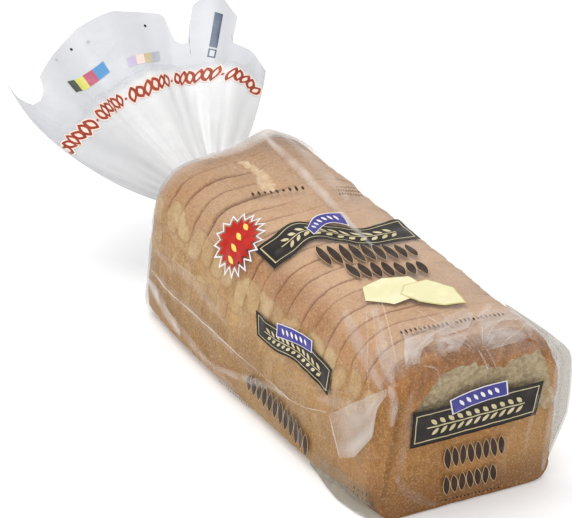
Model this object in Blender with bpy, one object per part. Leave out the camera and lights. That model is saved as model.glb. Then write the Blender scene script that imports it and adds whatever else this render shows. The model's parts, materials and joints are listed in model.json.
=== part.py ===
"""Sliced loaf in a clear bread bag, lying on its base with the bag's tail flared behind it.

Row frame: metres, +Z up. The origin is the centre of the loaf's flat base, -Y points at the
closed front end and +Y at the gathered neck and the flared tail.
"""

import math

import bmesh
import bpy
import numpy as np
from mathutils import Matrix, Vector

# Loaf under the film
LOAF_LENGTH = 0.272
LOAF_WIDTH = 0.118
LOAF_HEIGHT = 0.1045
SECTION_CENTRE_Z = 0.050
TOP_POWER = 4.0
BOTTOM_POWER = 12.0
BASE_SINK = 0.0010
SIDE_BOW = 0.0065
BOW_POWER = 4
BOW_FADE_FROM_Z = 0.040
BOW_FADE_TO_Z = 0.090
SLICES = 19
GROOVE_DEPTH = 0.0011
GROOVE_FADE_FROM_Z = 0.012
GROOVE_FADE_TO_Z = 0.030
SLICE_UNEVENNESS = 0.0008
RANDOM_SEED = 24

# Ends of the pack
FRONT_ROUNDING = 0.007
HEEL_CREST = 0.011
REAR_ROUNDING = 0.012
REAR_POWER = 2.8
NECK_RADIUS = 0.0075
NECK_HALF_LENGTH = 0.004
NECK_RISE = math.radians(14)
NECK_Y = LOAF_LENGTH / 2 + 0.018
NECK_Z = 0.048
PLEATS = 16
PLEAT_DEPTH = 0.0020

# Rise of the crown towards the rear, with a ridge of gathered film along it
RISE_X = 0.020
RISE_LENGTH = 0.150
DOME_HEIGHT = 0.0075
DOME_HALF_WIDTH = 0.036
RIDGE_HEIGHT = 0.0020
RIDGE_HALF_WIDTH = 0.012

# Ear of folded film at the front right edge
EAR_THICKNESS = 0.0024
EAR_INSET_Y = 0.0045
EAR_OUTLINE = (
    (0.045, 0.094),
    (0.0655, 0.087),
    (0.0690, 0.060),
    (0.0660, 0.042),
    (0.045, 0.006),
)

# Flared tail: a fan of two panels in a plane that rises behind the neck
TAIL_RISE = math.radians(35)
TAIL_CENTRE = math.radians(98)
TAIL_HALF_LEFT = math.radians(58)
TAIL_HALF_RIGHT = math.radians(53)
TAIL_START = 0.017
TAIL_SIZE = 0.150
LEFT_NARROWING = 0.38
RIGHT_NARROWING = 0.16
NEAR_RIM = 0.108
NEAR_RIM_FLAT = 0.78
FAR_RIM_MIDDLE = 0.152
FAR_RIM_SHOULDER_LEFT = 0.141
FAR_RIM_TIP_LEFT = 0.157
FAR_RIM_SHOULDER_RIGHT = 0.131
FAR_RIM_TIP_RIGHT = 0.114
SHOULDER = 0.80
FLAP_REACH = 0.025
FLAP_FROM = 0.51
FLAP_TO = 0.84
FLAP_EDGE = 0.06
GAP_AT_NECK = 0.0070
GAP_AT_RIM = 0.0080
WALL = 0.0011
HOLLOW_FROM_RING = 6
WAVE_HEIGHT = 0.0045
WAVES = 3.2
TAIL_CUP = 0.010
NOTCHES = (
    (-0.0890, 0.1125, 0.0125, 0.0125),
    (0.0300, 0.1355, 0.0090, 0.0160),
)
NOTCH_CUT_DEPTH = 0.08

# Twist tie round the neck
TIE_WIDTH = 0.0042
TIE_THICKNESS = 0.0011
TIE_GAP = 0.0004
TIE_TWIST_LENGTH = 0.020
TIE_TURNS = 1.75

# Mesh density
AROUND = 64
DENSE = 1440
TAIL_RINGS = 14
REAR_RINGS = 7

FRONT_Y = -LOAF_LENGTH / 2
REAR_Y = LOAF_LENGTH / 2
RIGHT = Vector((1, 0, 0))
TAIL_AXIS = Vector((0, math.cos(TAIL_RISE), math.sin(TAIL_RISE)))
TAIL_NORMAL = Vector((0, -math.sin(TAIL_RISE), math.cos(TAIL_RISE)))
NECK_AXIS = Vector((0, math.cos(NECK_RISE), math.sin(NECK_RISE)))
NECK_UP = Vector((0, -math.sin(NECK_RISE), math.cos(NECK_RISE)))
NECK = Vector((0, NECK_Y, NECK_Z))


def smooth(x):
    """Smooth step from 0 to 1."""
    x = np.clip(x, 0.0, 1.0)
    return x * x * (3 - 2 * x)


def clear_scene():
    for obj in list(bpy.data.objects):
        bpy.data.objects.remove(obj)


def material(name, colour, roughness, metallic=0.0):
    made = bpy.data.materials.new(name)
    made.use_nodes = True
    shader = made.node_tree.nodes["Principled BSDF"]
    shader.inputs["Base Color"].default_value = (*colour, 1)
    shader.inputs["Roughness"].default_value = roughness
    shader.inputs["Metallic"].default_value = metallic
    return made


def collection(name):
    made = bpy.data.collections.new(name)
    bpy.context.scene.collection.children.link(made)
    return made


def add_object(name, mesh, home, finish=None):
    obj = bpy.data.objects.new(name, mesh)
    home.objects.link(obj)
    if finish:
        mesh.materials.append(finish)
    return obj


def loaf_section():
    """The pack's cross-section as AROUND points (x, z), from +X by the top round to the base."""
    angle = np.linspace(0, 2 * math.pi, DENSE, endpoint=False)
    upper = np.sin(angle) >= 0
    power = np.where(upper, TOP_POWER, BOTTOM_POWER)
    reach_z = np.where(upper, LOAF_HEIGHT - SECTION_CENTRE_Z, SECTION_CENTRE_Z + BASE_SINK)
    c, s = np.cos(angle), np.sin(angle)
    radius = (np.abs(c) ** power + np.abs(s) ** power) ** (-1 / power)
    x = LOAF_WIDTH / 2 * radius * c
    z = np.maximum(SECTION_CENTRE_Z + reach_z * radius * s, 0.0)
    return even_spacing(np.stack([x, z], 1))


def even_spacing(points):
    """AROUND points evenly spaced along each quarter of a closed outline that starts at +X."""
    closed = np.vstack([points, points[:1]])
    run = np.concatenate([[0], np.cumsum(np.linalg.norm(np.diff(closed, axis=0), axis=1))])
    quarter = len(points) // 4
    out = []
    for q in range(4):
        start, end = run[q * quarter], run[(q + 1) * quarter]
        at = np.linspace(start, end, AROUND // 4, endpoint=False)
        out.append(np.stack([np.interp(at, run, closed[:, k]) for k in range(2)], 1))
    return np.concatenate(out)


def crown_rise(x, y):
    """Height of the crown's dome and the film's ridge above the plain section."""
    along = smooth((y - (REAR_Y - RISE_LENGTH)) / RISE_LENGTH)
    dome = np.cos(np.clip((x - RISE_X) / DOME_HALF_WIDTH, -1, 1) * math.pi / 2) ** 2
    ridge = np.clip(1 - np.abs(x - RISE_X) / RIDGE_HALF_WIDTH, 0, 1)
    return (DOME_HEIGHT * dome + RIDGE_HEIGHT * ridge) * along


def body_ring(section, y, inset):
    """One ring of the loaf's length: the section drawn in by inset where it isn't the flat base."""
    x, z = section[:, 0], section[:, 1]
    hold = smooth((z - GROOVE_FADE_FROM_Z) / (GROOVE_FADE_TO_Z - GROOVE_FADE_FROM_Z))
    from_centre = np.stack([x, z - SECTION_CENTRE_Z], 1)
    unit = from_centre / np.linalg.norm(from_centre, axis=1)[:, None]
    x = x - unit[:, 0] * inset * hold
    z = z - unit[:, 1] * inset * hold
    low = 1 - smooth((z - BOW_FADE_FROM_Z) / (BOW_FADE_TO_Z - BOW_FADE_FROM_Z))
    x = x * (1 + low * SIDE_BOW / (LOAF_WIDTH / 2) * (1 - (y / REAR_Y) ** BOW_POWER))
    above = smooth((z - SECTION_CENTRE_Z) / (LOAF_HEIGHT - SECTION_CENTRE_Z) * 1.4 - 0.4)
    z = z + crown_rise(x, y) * above
    return np.stack([x, np.full_like(x, y), z], 1)


def front_rings(section):
    """The closed end: a flat face with a rounded edge. The base edge is rounded with it."""
    rings = []
    for turn in (90, 60, 30):
        a = math.radians(turn)
        back = FRONT_ROUNDING * (1 - math.sin(a))
        shrink = FRONT_ROUNDING * (1 - math.cos(a))
        sx = 1 - shrink / (LOAF_WIDTH / 2)
        sz = 1 - shrink / (LOAF_HEIGHT / 2)
        x = section[:, 0] * sx
        z = LOAF_HEIGHT / 2 + (section[:, 1] - LOAF_HEIGHT / 2) * sz
        rings.append(np.stack([x, np.full_like(x, FRONT_Y + back), z], 1))
    return rings


def slice_rings(section):
    """A crest at each slice's middle and a groove where two slices meet."""
    draw = np.random.default_rng(RANDOM_SEED)
    pitch = LOAF_LENGTH / SLICES
    rings = []
    for i in range(SLICES - 1):
        middle = FRONT_Y + pitch * (i + 0.5)
        rings.append(body_ring(section, max(middle, FRONT_Y + HEEL_CREST), draw.uniform(0, SLICE_UNEVENNESS)))
        rings.append(body_ring(section, FRONT_Y + pitch * (i + 1), GROOVE_DEPTH))
    return rings


def waist_ring(along):
    """A ring of the gathered neck, at a distance along it from its middle."""
    turn = np.linspace(0, 2 * math.pi, AROUND, endpoint=False)
    radius = NECK_RADIUS * (1 - 0.05 * (1 - np.cos(PLEATS * turn)))
    middle = np.array(NECK + along * NECK_AXIS)
    return (
        middle
        + np.outer(radius * np.cos(turn), np.array(RIGHT))
        + np.outer(radius * np.sin(turn), np.array(NECK_UP))
    )


def rear_rings(section):
    """The film drawn in over the last slices to the gathered neck, with pleats that grow towards it."""
    start = body_ring(section, REAR_Y - REAR_ROUNDING, 0)
    waist = waist_ring(-NECK_HALF_LENGTH)
    turn = np.linspace(0, 2 * math.pi, AROUND, endpoint=False)
    rings = [start]
    for k in range(1, REAR_RINGS + 1):
        a = k / (REAR_RINGS + 1) * math.pi / 2
        keep = math.cos(a) ** (2 / REAR_POWER)
        along = math.sin(a) ** (2 / REAR_POWER)
        ring = waist + (start - waist) * keep
        ring[:, 1] = start[:, 1] + (waist[:, 1] - start[:, 1]) * along
        ring[:, 1] -= PLEAT_DEPTH * (1 - keep) * np.cos(PLEATS * turn)
        ring[:, 2] = np.maximum(ring[:, 2], 0.0)
        rings.append(ring)
    return rings + [waist, waist_ring(NECK_HALF_LENGTH)]


def tail_point(m, r, lift):
    """Points of the fan: m runs from -1 at its right edge to 1 at its left, r is the reach from the neck."""
    far = (r / TAIL_SIZE) ** 2
    half = np.where(
        m > 0,
        TAIL_HALF_LEFT * (1 - LEFT_NARROWING * far),
        TAIL_HALF_RIGHT * (1 - RIGHT_NARROWING * far),
    )
    angle = TAIL_CENTRE + m * half
    grow = smooth((r - TAIL_START) / (NEAR_RIM - TAIL_START))
    wave = WAVE_HEIGHT * grow * np.cos(math.pi * WAVES * m + 0.6)
    cup = TAIL_CUP * grow * m * m
    neck, axis, normal = (np.array(v) for v in (NECK, TAIL_AXIS, TAIL_NORMAL))
    across = np.outer(r * np.cos(angle), np.array(RIGHT))
    return neck + across + np.outer(r * np.sin(angle), axis) + np.outer(lift + wave + cup, normal)


def far_rim(m):
    """Reach of the far panel, which has the longer lip and a free flap at its right."""
    shoulder = np.where(m > 0, FAR_RIM_SHOULDER_LEFT, FAR_RIM_SHOULDER_RIGHT)
    tip = np.where(m > 0, FAR_RIM_TIP_LEFT, FAR_RIM_TIP_RIGHT)
    out = np.abs(m)
    rim = FAR_RIM_MIDDLE + (shoulder - FAR_RIM_MIDDLE) * smooth(out / SHOULDER)
    rim = rim + (tip - shoulder) * smooth((out - SHOULDER) / (1 - SHOULDER))
    flap = smooth((-m - FLAP_FROM) / FLAP_EDGE) * smooth((FLAP_TO + m) / FLAP_EDGE)
    return rim + FLAP_REACH * flap


def tail_rings():
    """The fan's outer faces from neck to rim, then its inner faces back down to a closed floor."""
    step = np.arange(AROUND) / AROUND
    near = step < 0.5
    m = np.where(near, 4 * step - 1, 3 - 4 * step)
    at_fold = smooth((np.abs(m) - NEAR_RIM_FLAT) / (1 - NEAR_RIM_FLAT))
    side = np.where(near, 1.0, -1.0)
    swell = np.sqrt(np.clip(1 - np.abs(m) ** 5, 0, 1))
    reach = np.where(near, NEAR_RIM + (far_rim(m) - NEAR_RIM) * at_fold, far_rim(m))
    pleat = np.cos(PLEATS * 2 * math.pi * step)
    outer, inner = [], []
    for k in range(TAIL_RINGS):
        t = (k / (TAIL_RINGS - 1)) ** 1.25
        r = TAIL_START + (reach - TAIL_START) * t
        gap = GAP_AT_NECK + (GAP_AT_RIM - GAP_AT_NECK) * smooth(r / NEAR_RIM)
        fold = PLEAT_DEPTH * 0.5 * np.clip(1 - (r - TAIL_START) / 0.05, 0, 1) * pleat
        outer.append(tail_point(m, r, side * (gap + fold) * swell))
        if k >= HOLLOW_FROM_RING:
            inner.append(tail_point(m * (1 - 1.3 * WALL / r), r, side * (gap - WALL) * swell))
    return outer + inner[::-1]


def loft(name, rings, home, finish):
    """A closed surface through rings of AROUND points, with a point at each end's middle."""
    shape = bmesh.new()
    rows = [[shape.verts.new(p) for p in ring] for ring in rings]
    for near, far in zip(rows, rows[1:]):
        for i in range(AROUND):
            j = (i + 1) % AROUND
            shape.faces.new((near[i], near[j], far[j], far[i]))
    for row, ring in ((rows[0], rings[0]), (rows[-1], rings[-1])):
        middle = shape.verts.new(ring.mean(axis=0))
        for i in range(AROUND):
            shape.faces.new((row[i], row[(i + 1) % AROUND], middle))
    bmesh.ops.recalc_face_normals(shape, faces=shape.faces)
    mesh = bpy.data.meshes.new(name)
    shape.to_mesh(mesh)
    shape.free()
    return add_object(name, mesh, home, finish)


def front_ear(home):
    """A flat ear of folded film that stands out from the front right edge."""
    curve = bpy.data.curves.new("front_ear", "CURVE")
    curve.dimensions = "2D"
    curve.fill_mode = "BOTH"
    curve.extrude = EAR_THICKNESS / 2
    spline = curve.splines.new("POLY")
    spline.points.add(len(EAR_OUTLINE) - 1)
    for point, (x, z) in zip(spline.points, EAR_OUTLINE):
        point.co = (x, z, 0, 1)
    spline.use_cyclic_u = True
    ear = add_object("front_ear", curve, home)
    ear.location = (0, FRONT_Y + EAR_INSET_Y, 0)
    ear.rotation_euler = (math.pi / 2, 0, 0)
    return as_mesh(ear, home)


def as_mesh(obj, home):
    """The curve object made a mesh object with its caps welded."""
    bpy.context.view_layer.update()
    graph = bpy.context.evaluated_depsgraph_get()
    mesh = bpy.data.meshes.new_from_object(obj.evaluated_get(graph))
    shape = bmesh.new()
    shape.from_mesh(mesh)
    bmesh.ops.remove_doubles(shape, verts=shape.verts, dist=1e-5)
    bmesh.ops.recalc_face_normals(shape, faces=shape.faces)
    shape.to_mesh(mesh)
    shape.free()
    name, place = obj.name, obj.matrix_world.copy()
    bpy.data.objects.remove(obj)
    made = add_object(name, mesh, home)
    made.matrix_world = place
    return made


def notch_cutter(index, notch, home):
    """An oval cutter through the fan, where the bag was torn off a pin."""
    across, along, half_width, half_length = notch
    mesh = bpy.data.meshes.new(f"notch_cutter_{index}")
    shape = bmesh.new()
    bmesh.ops.create_cone(
        shape, cap_ends=True, segments=28, radius1=1, radius2=1, depth=NOTCH_CUT_DEPTH
    )
    bmesh.ops.scale(shape, verts=shape.verts, vec=(half_width, half_length, 1))
    shape.to_mesh(mesh)
    shape.free()
    cutter = add_object(mesh.name, mesh, home)
    turn = Matrix.Rotation(TAIL_RISE, 4, "X")
    cutter.matrix_world = Matrix.Translation(NECK + across * RIGHT + along * TAIL_AXIS) @ turn
    return cutter


def boolean(target, other, operation):
    cut = target.modifiers.new(f"{operation.lower()} {other.name}", "BOOLEAN")
    cut.operation = operation
    cut.solver = "EXACT"
    cut.object = other
    other.hide_render = True
    other.display_type = "WIRE"


def bread_bag(home, cutters):
    section = loaf_section()
    rings = front_rings(section) + slice_rings(section) + rear_rings(section) + tail_rings()
    finish = material("bag_film", (0.80, 0.66, 0.50), 0.25)
    bag = loft("bread_bag", rings, home, finish)
    boolean(bag, front_ear(cutters), "UNION")
    for index, notch in enumerate(NOTCHES, start=1):
        boolean(bag, notch_cutter(index, notch, cutters), "DIFFERENCE")
    return bag


def tie_band(shape, radius):
    """The strip's turn round the neck, along the local Z."""
    steps = 40
    rows = []
    for k in range(steps):
        a = 2 * math.pi * k / steps
        out = Vector((math.cos(a), math.sin(a), 0))
        rows.append(
            [
                shape.verts.new(out * (radius + e * TIE_THICKNESS) + Vector((0, 0, f * TIE_WIDTH / 2)))
                for e, f in ((0, -1), (1, -1), (1, 1), (0, 1))
            ]
        )
    for near, far in zip(rows, rows[1:] + rows[:1]):
        for i in range(4):
            j = (i + 1) % 4
            shape.faces.new((near[i], near[j], far[j], far[i]))


def tie_twist(name, radius, home):
    """The strip's two ends twisted together, standing out along local X."""
    shape = bmesh.new()
    steps = 22
    rows = []
    for k in range(steps + 1):
        t = k / steps
        a = 2 * math.pi * TIE_TURNS * t
        x = radius + TIE_THICKNESS * 0.4 + TIE_TWIST_LENGTH * t
        wide = Vector((0, math.cos(a), math.sin(a))) * TIE_WIDTH / 2
        thin = Vector((0, -math.sin(a), math.cos(a))) * TIE_THICKNESS
        rows.append(
            [
                shape.verts.new(Vector((x, 0, 0)) + p * wide + q * thin)
                for p, q in ((-1, -1), (1, -1), (1, 1), (-1, 1))
            ]
        )
    for near, far in zip(rows, rows[1:]):
        for i in range(4):
            j = (i + 1) % 4
            shape.faces.new((near[i], near[j], far[j], far[i]))
    shape.faces.new(rows[0])
    shape.faces.new(rows[-1])
    bmesh.ops.recalc_face_normals(shape, faces=shape.faces)
    mesh = bpy.data.meshes.new(name)
    shape.to_mesh(mesh)
    shape.free()
    return add_object(name, mesh, home)


def neck_tie(home, cutters):
    radius = NECK_RADIUS + TIE_GAP
    shape = bmesh.new()
    tie_band(shape, radius)
    bmesh.ops.recalc_face_normals(shape, faces=shape.faces)
    mesh = bpy.data.meshes.new("neck_tie")
    shape.to_mesh(mesh)
    shape.free()
    tie = add_object("neck_tie", mesh, home, material("tie_plastic", (0.86, 0.87, 0.88), 0.45))
    twist = tie_twist("tie_twist", radius, cutters)
    place = Matrix.Translation(NECK) @ Matrix.Rotation(NECK_RISE - math.pi / 2, 4, "X")
    tie.matrix_world = place
    twist.matrix_world = place
    boolean(tie, twist, "UNION")
    return tie


def main():
    clear_scene()
    home = collection("loaf_in_bread_bag")
    cutters = collection("cutters")
    cutters.hide_render = True
    for obj in (bread_bag(home, cutters), neck_tie(home, cutters)):
        obj.data.shade_smooth()
        obj.data.set_sharp_from_angle(angle=math.radians(40))


main()
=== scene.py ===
import json
import math

import bmesh
import bpy
import numpy as np
from mathutils import Matrix, Vector
from mathutils.geometry import tessellate_polygon

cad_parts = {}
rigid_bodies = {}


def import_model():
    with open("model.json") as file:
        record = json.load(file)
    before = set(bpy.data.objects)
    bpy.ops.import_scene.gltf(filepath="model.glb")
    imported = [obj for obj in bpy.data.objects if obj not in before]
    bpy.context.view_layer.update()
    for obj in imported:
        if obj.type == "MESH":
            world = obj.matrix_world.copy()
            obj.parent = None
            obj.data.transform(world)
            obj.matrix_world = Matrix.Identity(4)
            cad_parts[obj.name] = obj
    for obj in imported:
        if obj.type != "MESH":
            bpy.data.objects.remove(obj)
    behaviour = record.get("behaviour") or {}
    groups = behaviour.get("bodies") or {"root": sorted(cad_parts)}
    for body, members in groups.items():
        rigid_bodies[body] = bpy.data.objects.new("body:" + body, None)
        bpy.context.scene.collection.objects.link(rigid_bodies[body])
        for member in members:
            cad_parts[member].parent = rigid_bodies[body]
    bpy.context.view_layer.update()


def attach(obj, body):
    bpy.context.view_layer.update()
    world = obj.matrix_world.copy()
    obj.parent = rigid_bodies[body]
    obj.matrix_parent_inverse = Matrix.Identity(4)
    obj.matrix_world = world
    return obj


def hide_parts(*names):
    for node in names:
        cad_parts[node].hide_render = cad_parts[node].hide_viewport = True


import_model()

# Camera: the photograph's long lens, in the row frame
CAMERA_PLACE = (-1.18846, -1.71490, 1.22147)
CAMERA_AZIMUTH = math.radians(-33.636)
CAMERA_ELEVATION = math.radians(28.5)
CAMERA_ROLL = math.radians(4.572)
CAMERA_LENS = 251.75
SENSOR_WIDTH = 36.0

# The pack, as in the CAD
LENGTH = 0.272
WIDTH = 0.118
HEIGHT = 0.1045
CENTRE_Z = 0.050
FRONT_Y = -LENGTH / 2
REAR_Y = LENGTH / 2
FRONT_ROUNDING = 0.007
REAR_ROUNDING = 0.012
REAR_POWER = 2.8
SIDE_BOW = 0.0065
BOW_POWER = 4
BOW_FADE = (0.040, 0.090)
NECK = np.array([0, REAR_Y + 0.018, 0.048])
NECK_RADIUS = 0.0073
NECK_HALF_LENGTH = 0.004
NECK_RISE = math.radians(14)
TAIL_RISE = math.radians(35)
TAIL_CENTRE = math.radians(98)
TAIL_HALF_LEFT = math.radians(58)
TAIL_HALF_RIGHT = math.radians(53)
LEFT_NARROWING = 0.38
RIGHT_NARROWING = 0.16
TAIL_START = 0.017
TAIL_SIZE = 0.150
NEAR_RIM = 0.108
RIGHT = np.array([1.0, 0, 0])
TAIL_AXIS = np.array([0, math.cos(TAIL_RISE), math.sin(TAIL_RISE)])
TAIL_NORMAL = np.array([0, -math.sin(TAIL_RISE), math.cos(TAIL_RISE)])

MM = 0.001


def srgb(red, green, blue):
    """A colour read as 0 to 255 on a screen, as the linear numbers that shaders take."""
    out = []
    for value in (red, green, blue):
        v = value / 255
        out.append(v / 12.92 if v <= 0.04045 else ((v + 0.055) / 1.055) ** 2.4)
    return (*out, 1)


def smooth(x):
    """0 up to 0 and 1 from 1 on, with soft ends between."""
    x = np.clip(x, 0.0, 1.0)
    return x * x * (3 - 2 * x)


def rise(value, start, width):
    """0 up to the start and 1 from start + width on, with soft ends between."""
    return smooth((value - start) / width)


def bell(value, middle, spread):
    """1 in the middle, falling off to both sides."""
    return np.exp(-(((value - middle) / spread) ** 2))


def run_of(line):
    """How far along a line of points each of them lies."""
    return np.concatenate([[0], np.cumsum(np.linalg.norm(np.diff(line, axis=0), axis=1))])


def waves(points, length, seed, count=9):
    """Smooth random relief of about -1 to 1: a sum of plane waves of about one wavelength."""
    draw = np.random.default_rng(seed)
    points = np.asarray(points, float)
    way = draw.normal(size=(count, points.shape[-1]))
    way /= np.linalg.norm(way, axis=1)[:, None]
    pace = 2 * math.pi / (length * draw.uniform(0.6, 1.5, count))
    start = draw.uniform(0, 2 * math.pi, count)
    return np.sin(points @ (way * pace[:, None]).T + start).sum(-1) / math.sqrt(count)


OUTLINE_STEPS = 2881


class Outline:
    """A cross-section by its length s along it: 0 at the crown, negative down the -X side."""

    def __init__(self, width, height, top_power, base_power, centre_z, sink):
        angle = -math.pi / 2 - np.linspace(0, 2 * math.pi, OUTLINE_STEPS)
        c, s = np.cos(angle), np.sin(angle)
        upper = s >= 0
        power = np.where(upper, top_power, base_power)
        reach = np.where(upper, height - centre_z, centre_z + sink)
        radius = (np.abs(c) ** power + np.abs(s) ** power) ** (-1 / power)
        self.x = width / 2 * radius * c
        self.z = np.maximum(centre_z + reach * radius * s, 0)
        step = np.hypot(np.diff(self.x), np.diff(self.z))
        run = np.concatenate([[0], np.cumsum(step)])
        self.half = run[-1] / 2
        self.run = run - self.half

    def at(self, s):
        return np.interp(s, self.run, self.x), np.interp(s, self.run, self.z)

    def normal(self, s):
        reach = 1.5 * MM
        x0, z0 = self.at(np.clip(s - reach, -self.half, self.half))
        x1, z1 = self.at(np.clip(s + reach, -self.half, self.half))
        size = np.maximum(np.hypot(x1 - x0, z1 - z0), 1e-9)
        return -(z1 - z0) / size, (x1 - x0) / size


FILM = Outline(WIDTH, HEIGHT, 4.0, 12.0, CENTRE_Z, 0.001)
BREAD = Outline(WIDTH - 1.0 * MM, HEIGHT - 1.0 * MM, 4.0, 14.0, CENTRE_Z, -0.4 * MM)


def bow(x, y, z):
    low = 1 - rise(z, BOW_FADE[0], BOW_FADE[1] - BOW_FADE[0])
    return x * (1 + low * SIDE_BOW / (WIDTH / 2) * (1 - np.abs(y / REAR_Y) ** BOW_POWER))


FOLD_X = 0.020
FOLD_LENGTH = 0.150
DOME_HEIGHT = 0.0075
DOME_HALF_WIDTH = 0.036
RIDGE_HEIGHT = 0.0024
RIDGE_HALF_WIDTH = 0.010


def dome(x, y):
    """How far the loaf's crown rises towards the rear."""
    along = rise(y, REAR_Y - FOLD_LENGTH, FOLD_LENGTH)
    across = np.cos(np.clip((x - FOLD_X) / DOME_HALF_WIDTH, -1, 1) * math.pi / 2) ** 2
    return DOME_HEIGHT * along * across


def crown_share(z):
    return smooth((z - CENTRE_Z) / (HEIGHT - CENTRE_Z) * 1.4 - 0.4)


def to_line(points, line):
    """Distance from points to a broken line, and how far along it (0 to 1) the nearest place is."""
    best = np.full(points.shape[:-1], 1e9)
    along = np.zeros(points.shape[:-1])
    line = np.asarray(line, float)
    run = run_of(line)
    run = run / run[-1]
    for k in range(len(line) - 1):
        a, b = line[k], line[k + 1]
        t = np.clip(((points - a) @ (b - a)) / ((b - a) @ (b - a)), 0, 1)
        d = np.linalg.norm(points - (a + t[..., None] * (b - a)), axis=-1)
        near = d < best
        best = np.where(near, d, best)
        along = np.where(near, run[k] + t * (run[k + 1] - run[k]), along)
    return best, along


# Making meshes

def mesh_piece(name, points, faces, material, values):
    """A piece of the pack, with one number per point for each key in values."""
    mesh = bpy.data.meshes.new(name)
    mesh.from_pydata([tuple(p) for p in np.asarray(points, float)], [], faces)
    mesh.update()
    for key, numbers in values.items():
        made = mesh.attributes.new(key, "FLOAT", "POINT")
        made.data.foreach_set("value", np.asarray(numbers, np.float32).ravel())
    mesh.shade_smooth()
    mesh.materials.append(material)
    piece = bpy.data.objects.new(name, mesh)
    bpy.context.scene.collection.objects.link(piece)
    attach(piece, "root")
    return piece


def grid_faces(rows, columns, closed, start=0):
    """Quads between rows of points, joined round when closed."""
    faces = []
    for i in range(rows - 1):
        for j in range(columns if closed else columns - 1):
            k = (j + 1) % columns
            a = start + i * columns
            faces.append((a + j, a + k, a + columns + k, a + columns + j))
    return faces


class Sheets:
    """Several grids or loose faces gathered as one mesh."""

    def __init__(self):
        self.points, self.faces, self.values = [], [], {}
        self.count = 0

    def add(self, grid, closed=False, **values):
        rows, columns = grid.shape[:2]
        self.faces += grid_faces(rows, columns, closed, self.count)
        self.points.append(grid.reshape(-1, 3))
        for key, value in values.items():
            flat = np.broadcast_to(value, (rows, columns)).reshape(-1)
            self.values.setdefault(key, []).append(flat)
        self.count += rows * columns

    def add_faces(self, points, faces):
        self.faces += [tuple(self.count + corner for corner in face) for face in faces]
        self.points.append(points)
        self.count += len(points)

    def piece(self, name, material, slot):
        values = {key: np.concatenate(parts) for key, parts in self.values.items()}
        return mesh_piece(name, np.concatenate(self.points), self.faces, material, values)


# Film over the loaf: places on it are (s, y), s along the section from the crown

SIDE_CREASE = ((-114.1, 131), (-112, 39.4), (-111.5, -46.5), (-101.7, -82.6))
REAR_CREASE = ((-90, 132), (-93, 90), (-87, 40))
CROWN_CREASE = ((16.9, -103.2), (-19.0, -115.9), (-48.8, -129.5))
CORNER_CREASE = ((-35.0, -68.9), (-53.5, -98.6), (-73.8, -116.8))
CREASES = (
    # line of (s, y) in mm, height and half width in mm
    (SIDE_CREASE, 1.3, 3.0),
    (((-127.8, 123), (-125.6, 91), (-135.3, 37), (-125.4, 4), (-116.8, -23)), 1.2, 4.0),
    (REAR_CREASE, -0.8, 4.0),
    (((-72, 120), (-80, 88)), 0.9, 4.0),
    (((-101.7, -82.6), (-82.4, -107.1), (-62.5, -129.8)), 1.2, 3.0),
    (CROWN_CREASE, 0.8, 3.0),
    (CORNER_CREASE, 0.7, 2.5),
)


def film_relief(s, y):
    """How far the film stands off its plain form."""
    place = np.stack([s, y], -1)
    relief = 0.35 * MM * (waves(place, 0.045, 3) + 0.8) + 0.20 * MM * waves(place, 0.017, 5)
    for points, height, half_width in CREASES:
        away, along = to_line(place, np.array(points) * MM)
        taper = smooth(along / 0.15) * smooth((1 - along) / 0.15)
        relief = relief + height * MM * taper * np.clip(1 - away / (half_width * MM), 0, 1) ** 1.5
    return relief


def standing_fold(x, y):
    """The film's rise over the crown, with a sharp ridge where it is gathered."""
    along = rise(y, REAR_Y - FOLD_LENGTH, FOLD_LENGTH)
    across = np.clip(1 - np.abs(x - FOLD_X) / RIDGE_HALF_WIDTH, 0, 1) ** 1.2
    return dome(x, y) + RIDGE_HEIGHT * along * across


def on_film(s, y, lift=0.0):
    """Points on the film's sides and top."""
    s, y = np.broadcast_arrays(s, y)
    x, z = FILM.at(s)
    nx, nz = FILM.normal(s)
    deep = np.clip((FRONT_Y + FRONT_ROUNDING - y) / FRONT_ROUNDING, 0, 1)
    shrink = FRONT_ROUNDING * (1 - np.sqrt(1 - deep**2))
    x = x * (1 - shrink / (WIDTH / 2))
    z = HEIGHT / 2 + (z - HEIGHT / 2) * (1 - shrink / (HEIGHT / 2))
    x = bow(x, y, z)
    z = z + standing_fold(x, y) * crown_share(z)
    off = lift + film_relief(s, y) * smooth(z / 0.006)
    return np.stack([x + nx * off, y, np.maximum(z + nz * off, 0.0)], -1)


def front_relief(x, z):
    place = np.stack([x, z], -1)
    return 0.5 * MM * waves(place, 0.040, 11) + 0.2 * MM * waves(place, 0.015, 12)


def on_front(x, z, lift=0.0):
    """Points on the film's front face."""
    x, z = np.broadcast_arrays(x, z)
    edge = np.minimum.reduce([WIDTH / 2 - np.abs(x), HEIGHT - z, z])
    y = FRONT_Y - lift + np.abs(front_relief(x, z)) * smooth(edge / 0.012)
    return np.stack([x, y, z], -1)


AROUND = 320
BODY_ROWS = 120
REAR_ROWS = 22
FRONT_ROWS = 26


def ring_turn():
    """Angles round the neck that match the film's columns: from the base up the -X side."""
    return -math.pi / 2 - 2 * math.pi * np.arange(AROUND) / AROUND


def neck_ring(along):
    """The gathered film round the neck, at a place along the neck's axis."""
    turn = ring_turn()
    fold = 1 - 0.07 * (1 - np.cos(17 * turn + 1.5 * np.sin(3 * turn)))
    axis = np.array([0, math.cos(NECK_RISE), math.sin(NECK_RISE)])
    up = np.array([0, -math.sin(NECK_RISE), math.cos(NECK_RISE)])
    across = np.outer(NECK_RADIUS * fold * np.cos(turn), RIGHT)
    return NECK + along * axis + across + np.outer(NECK_RADIUS * fold * np.sin(turn), up)


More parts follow.
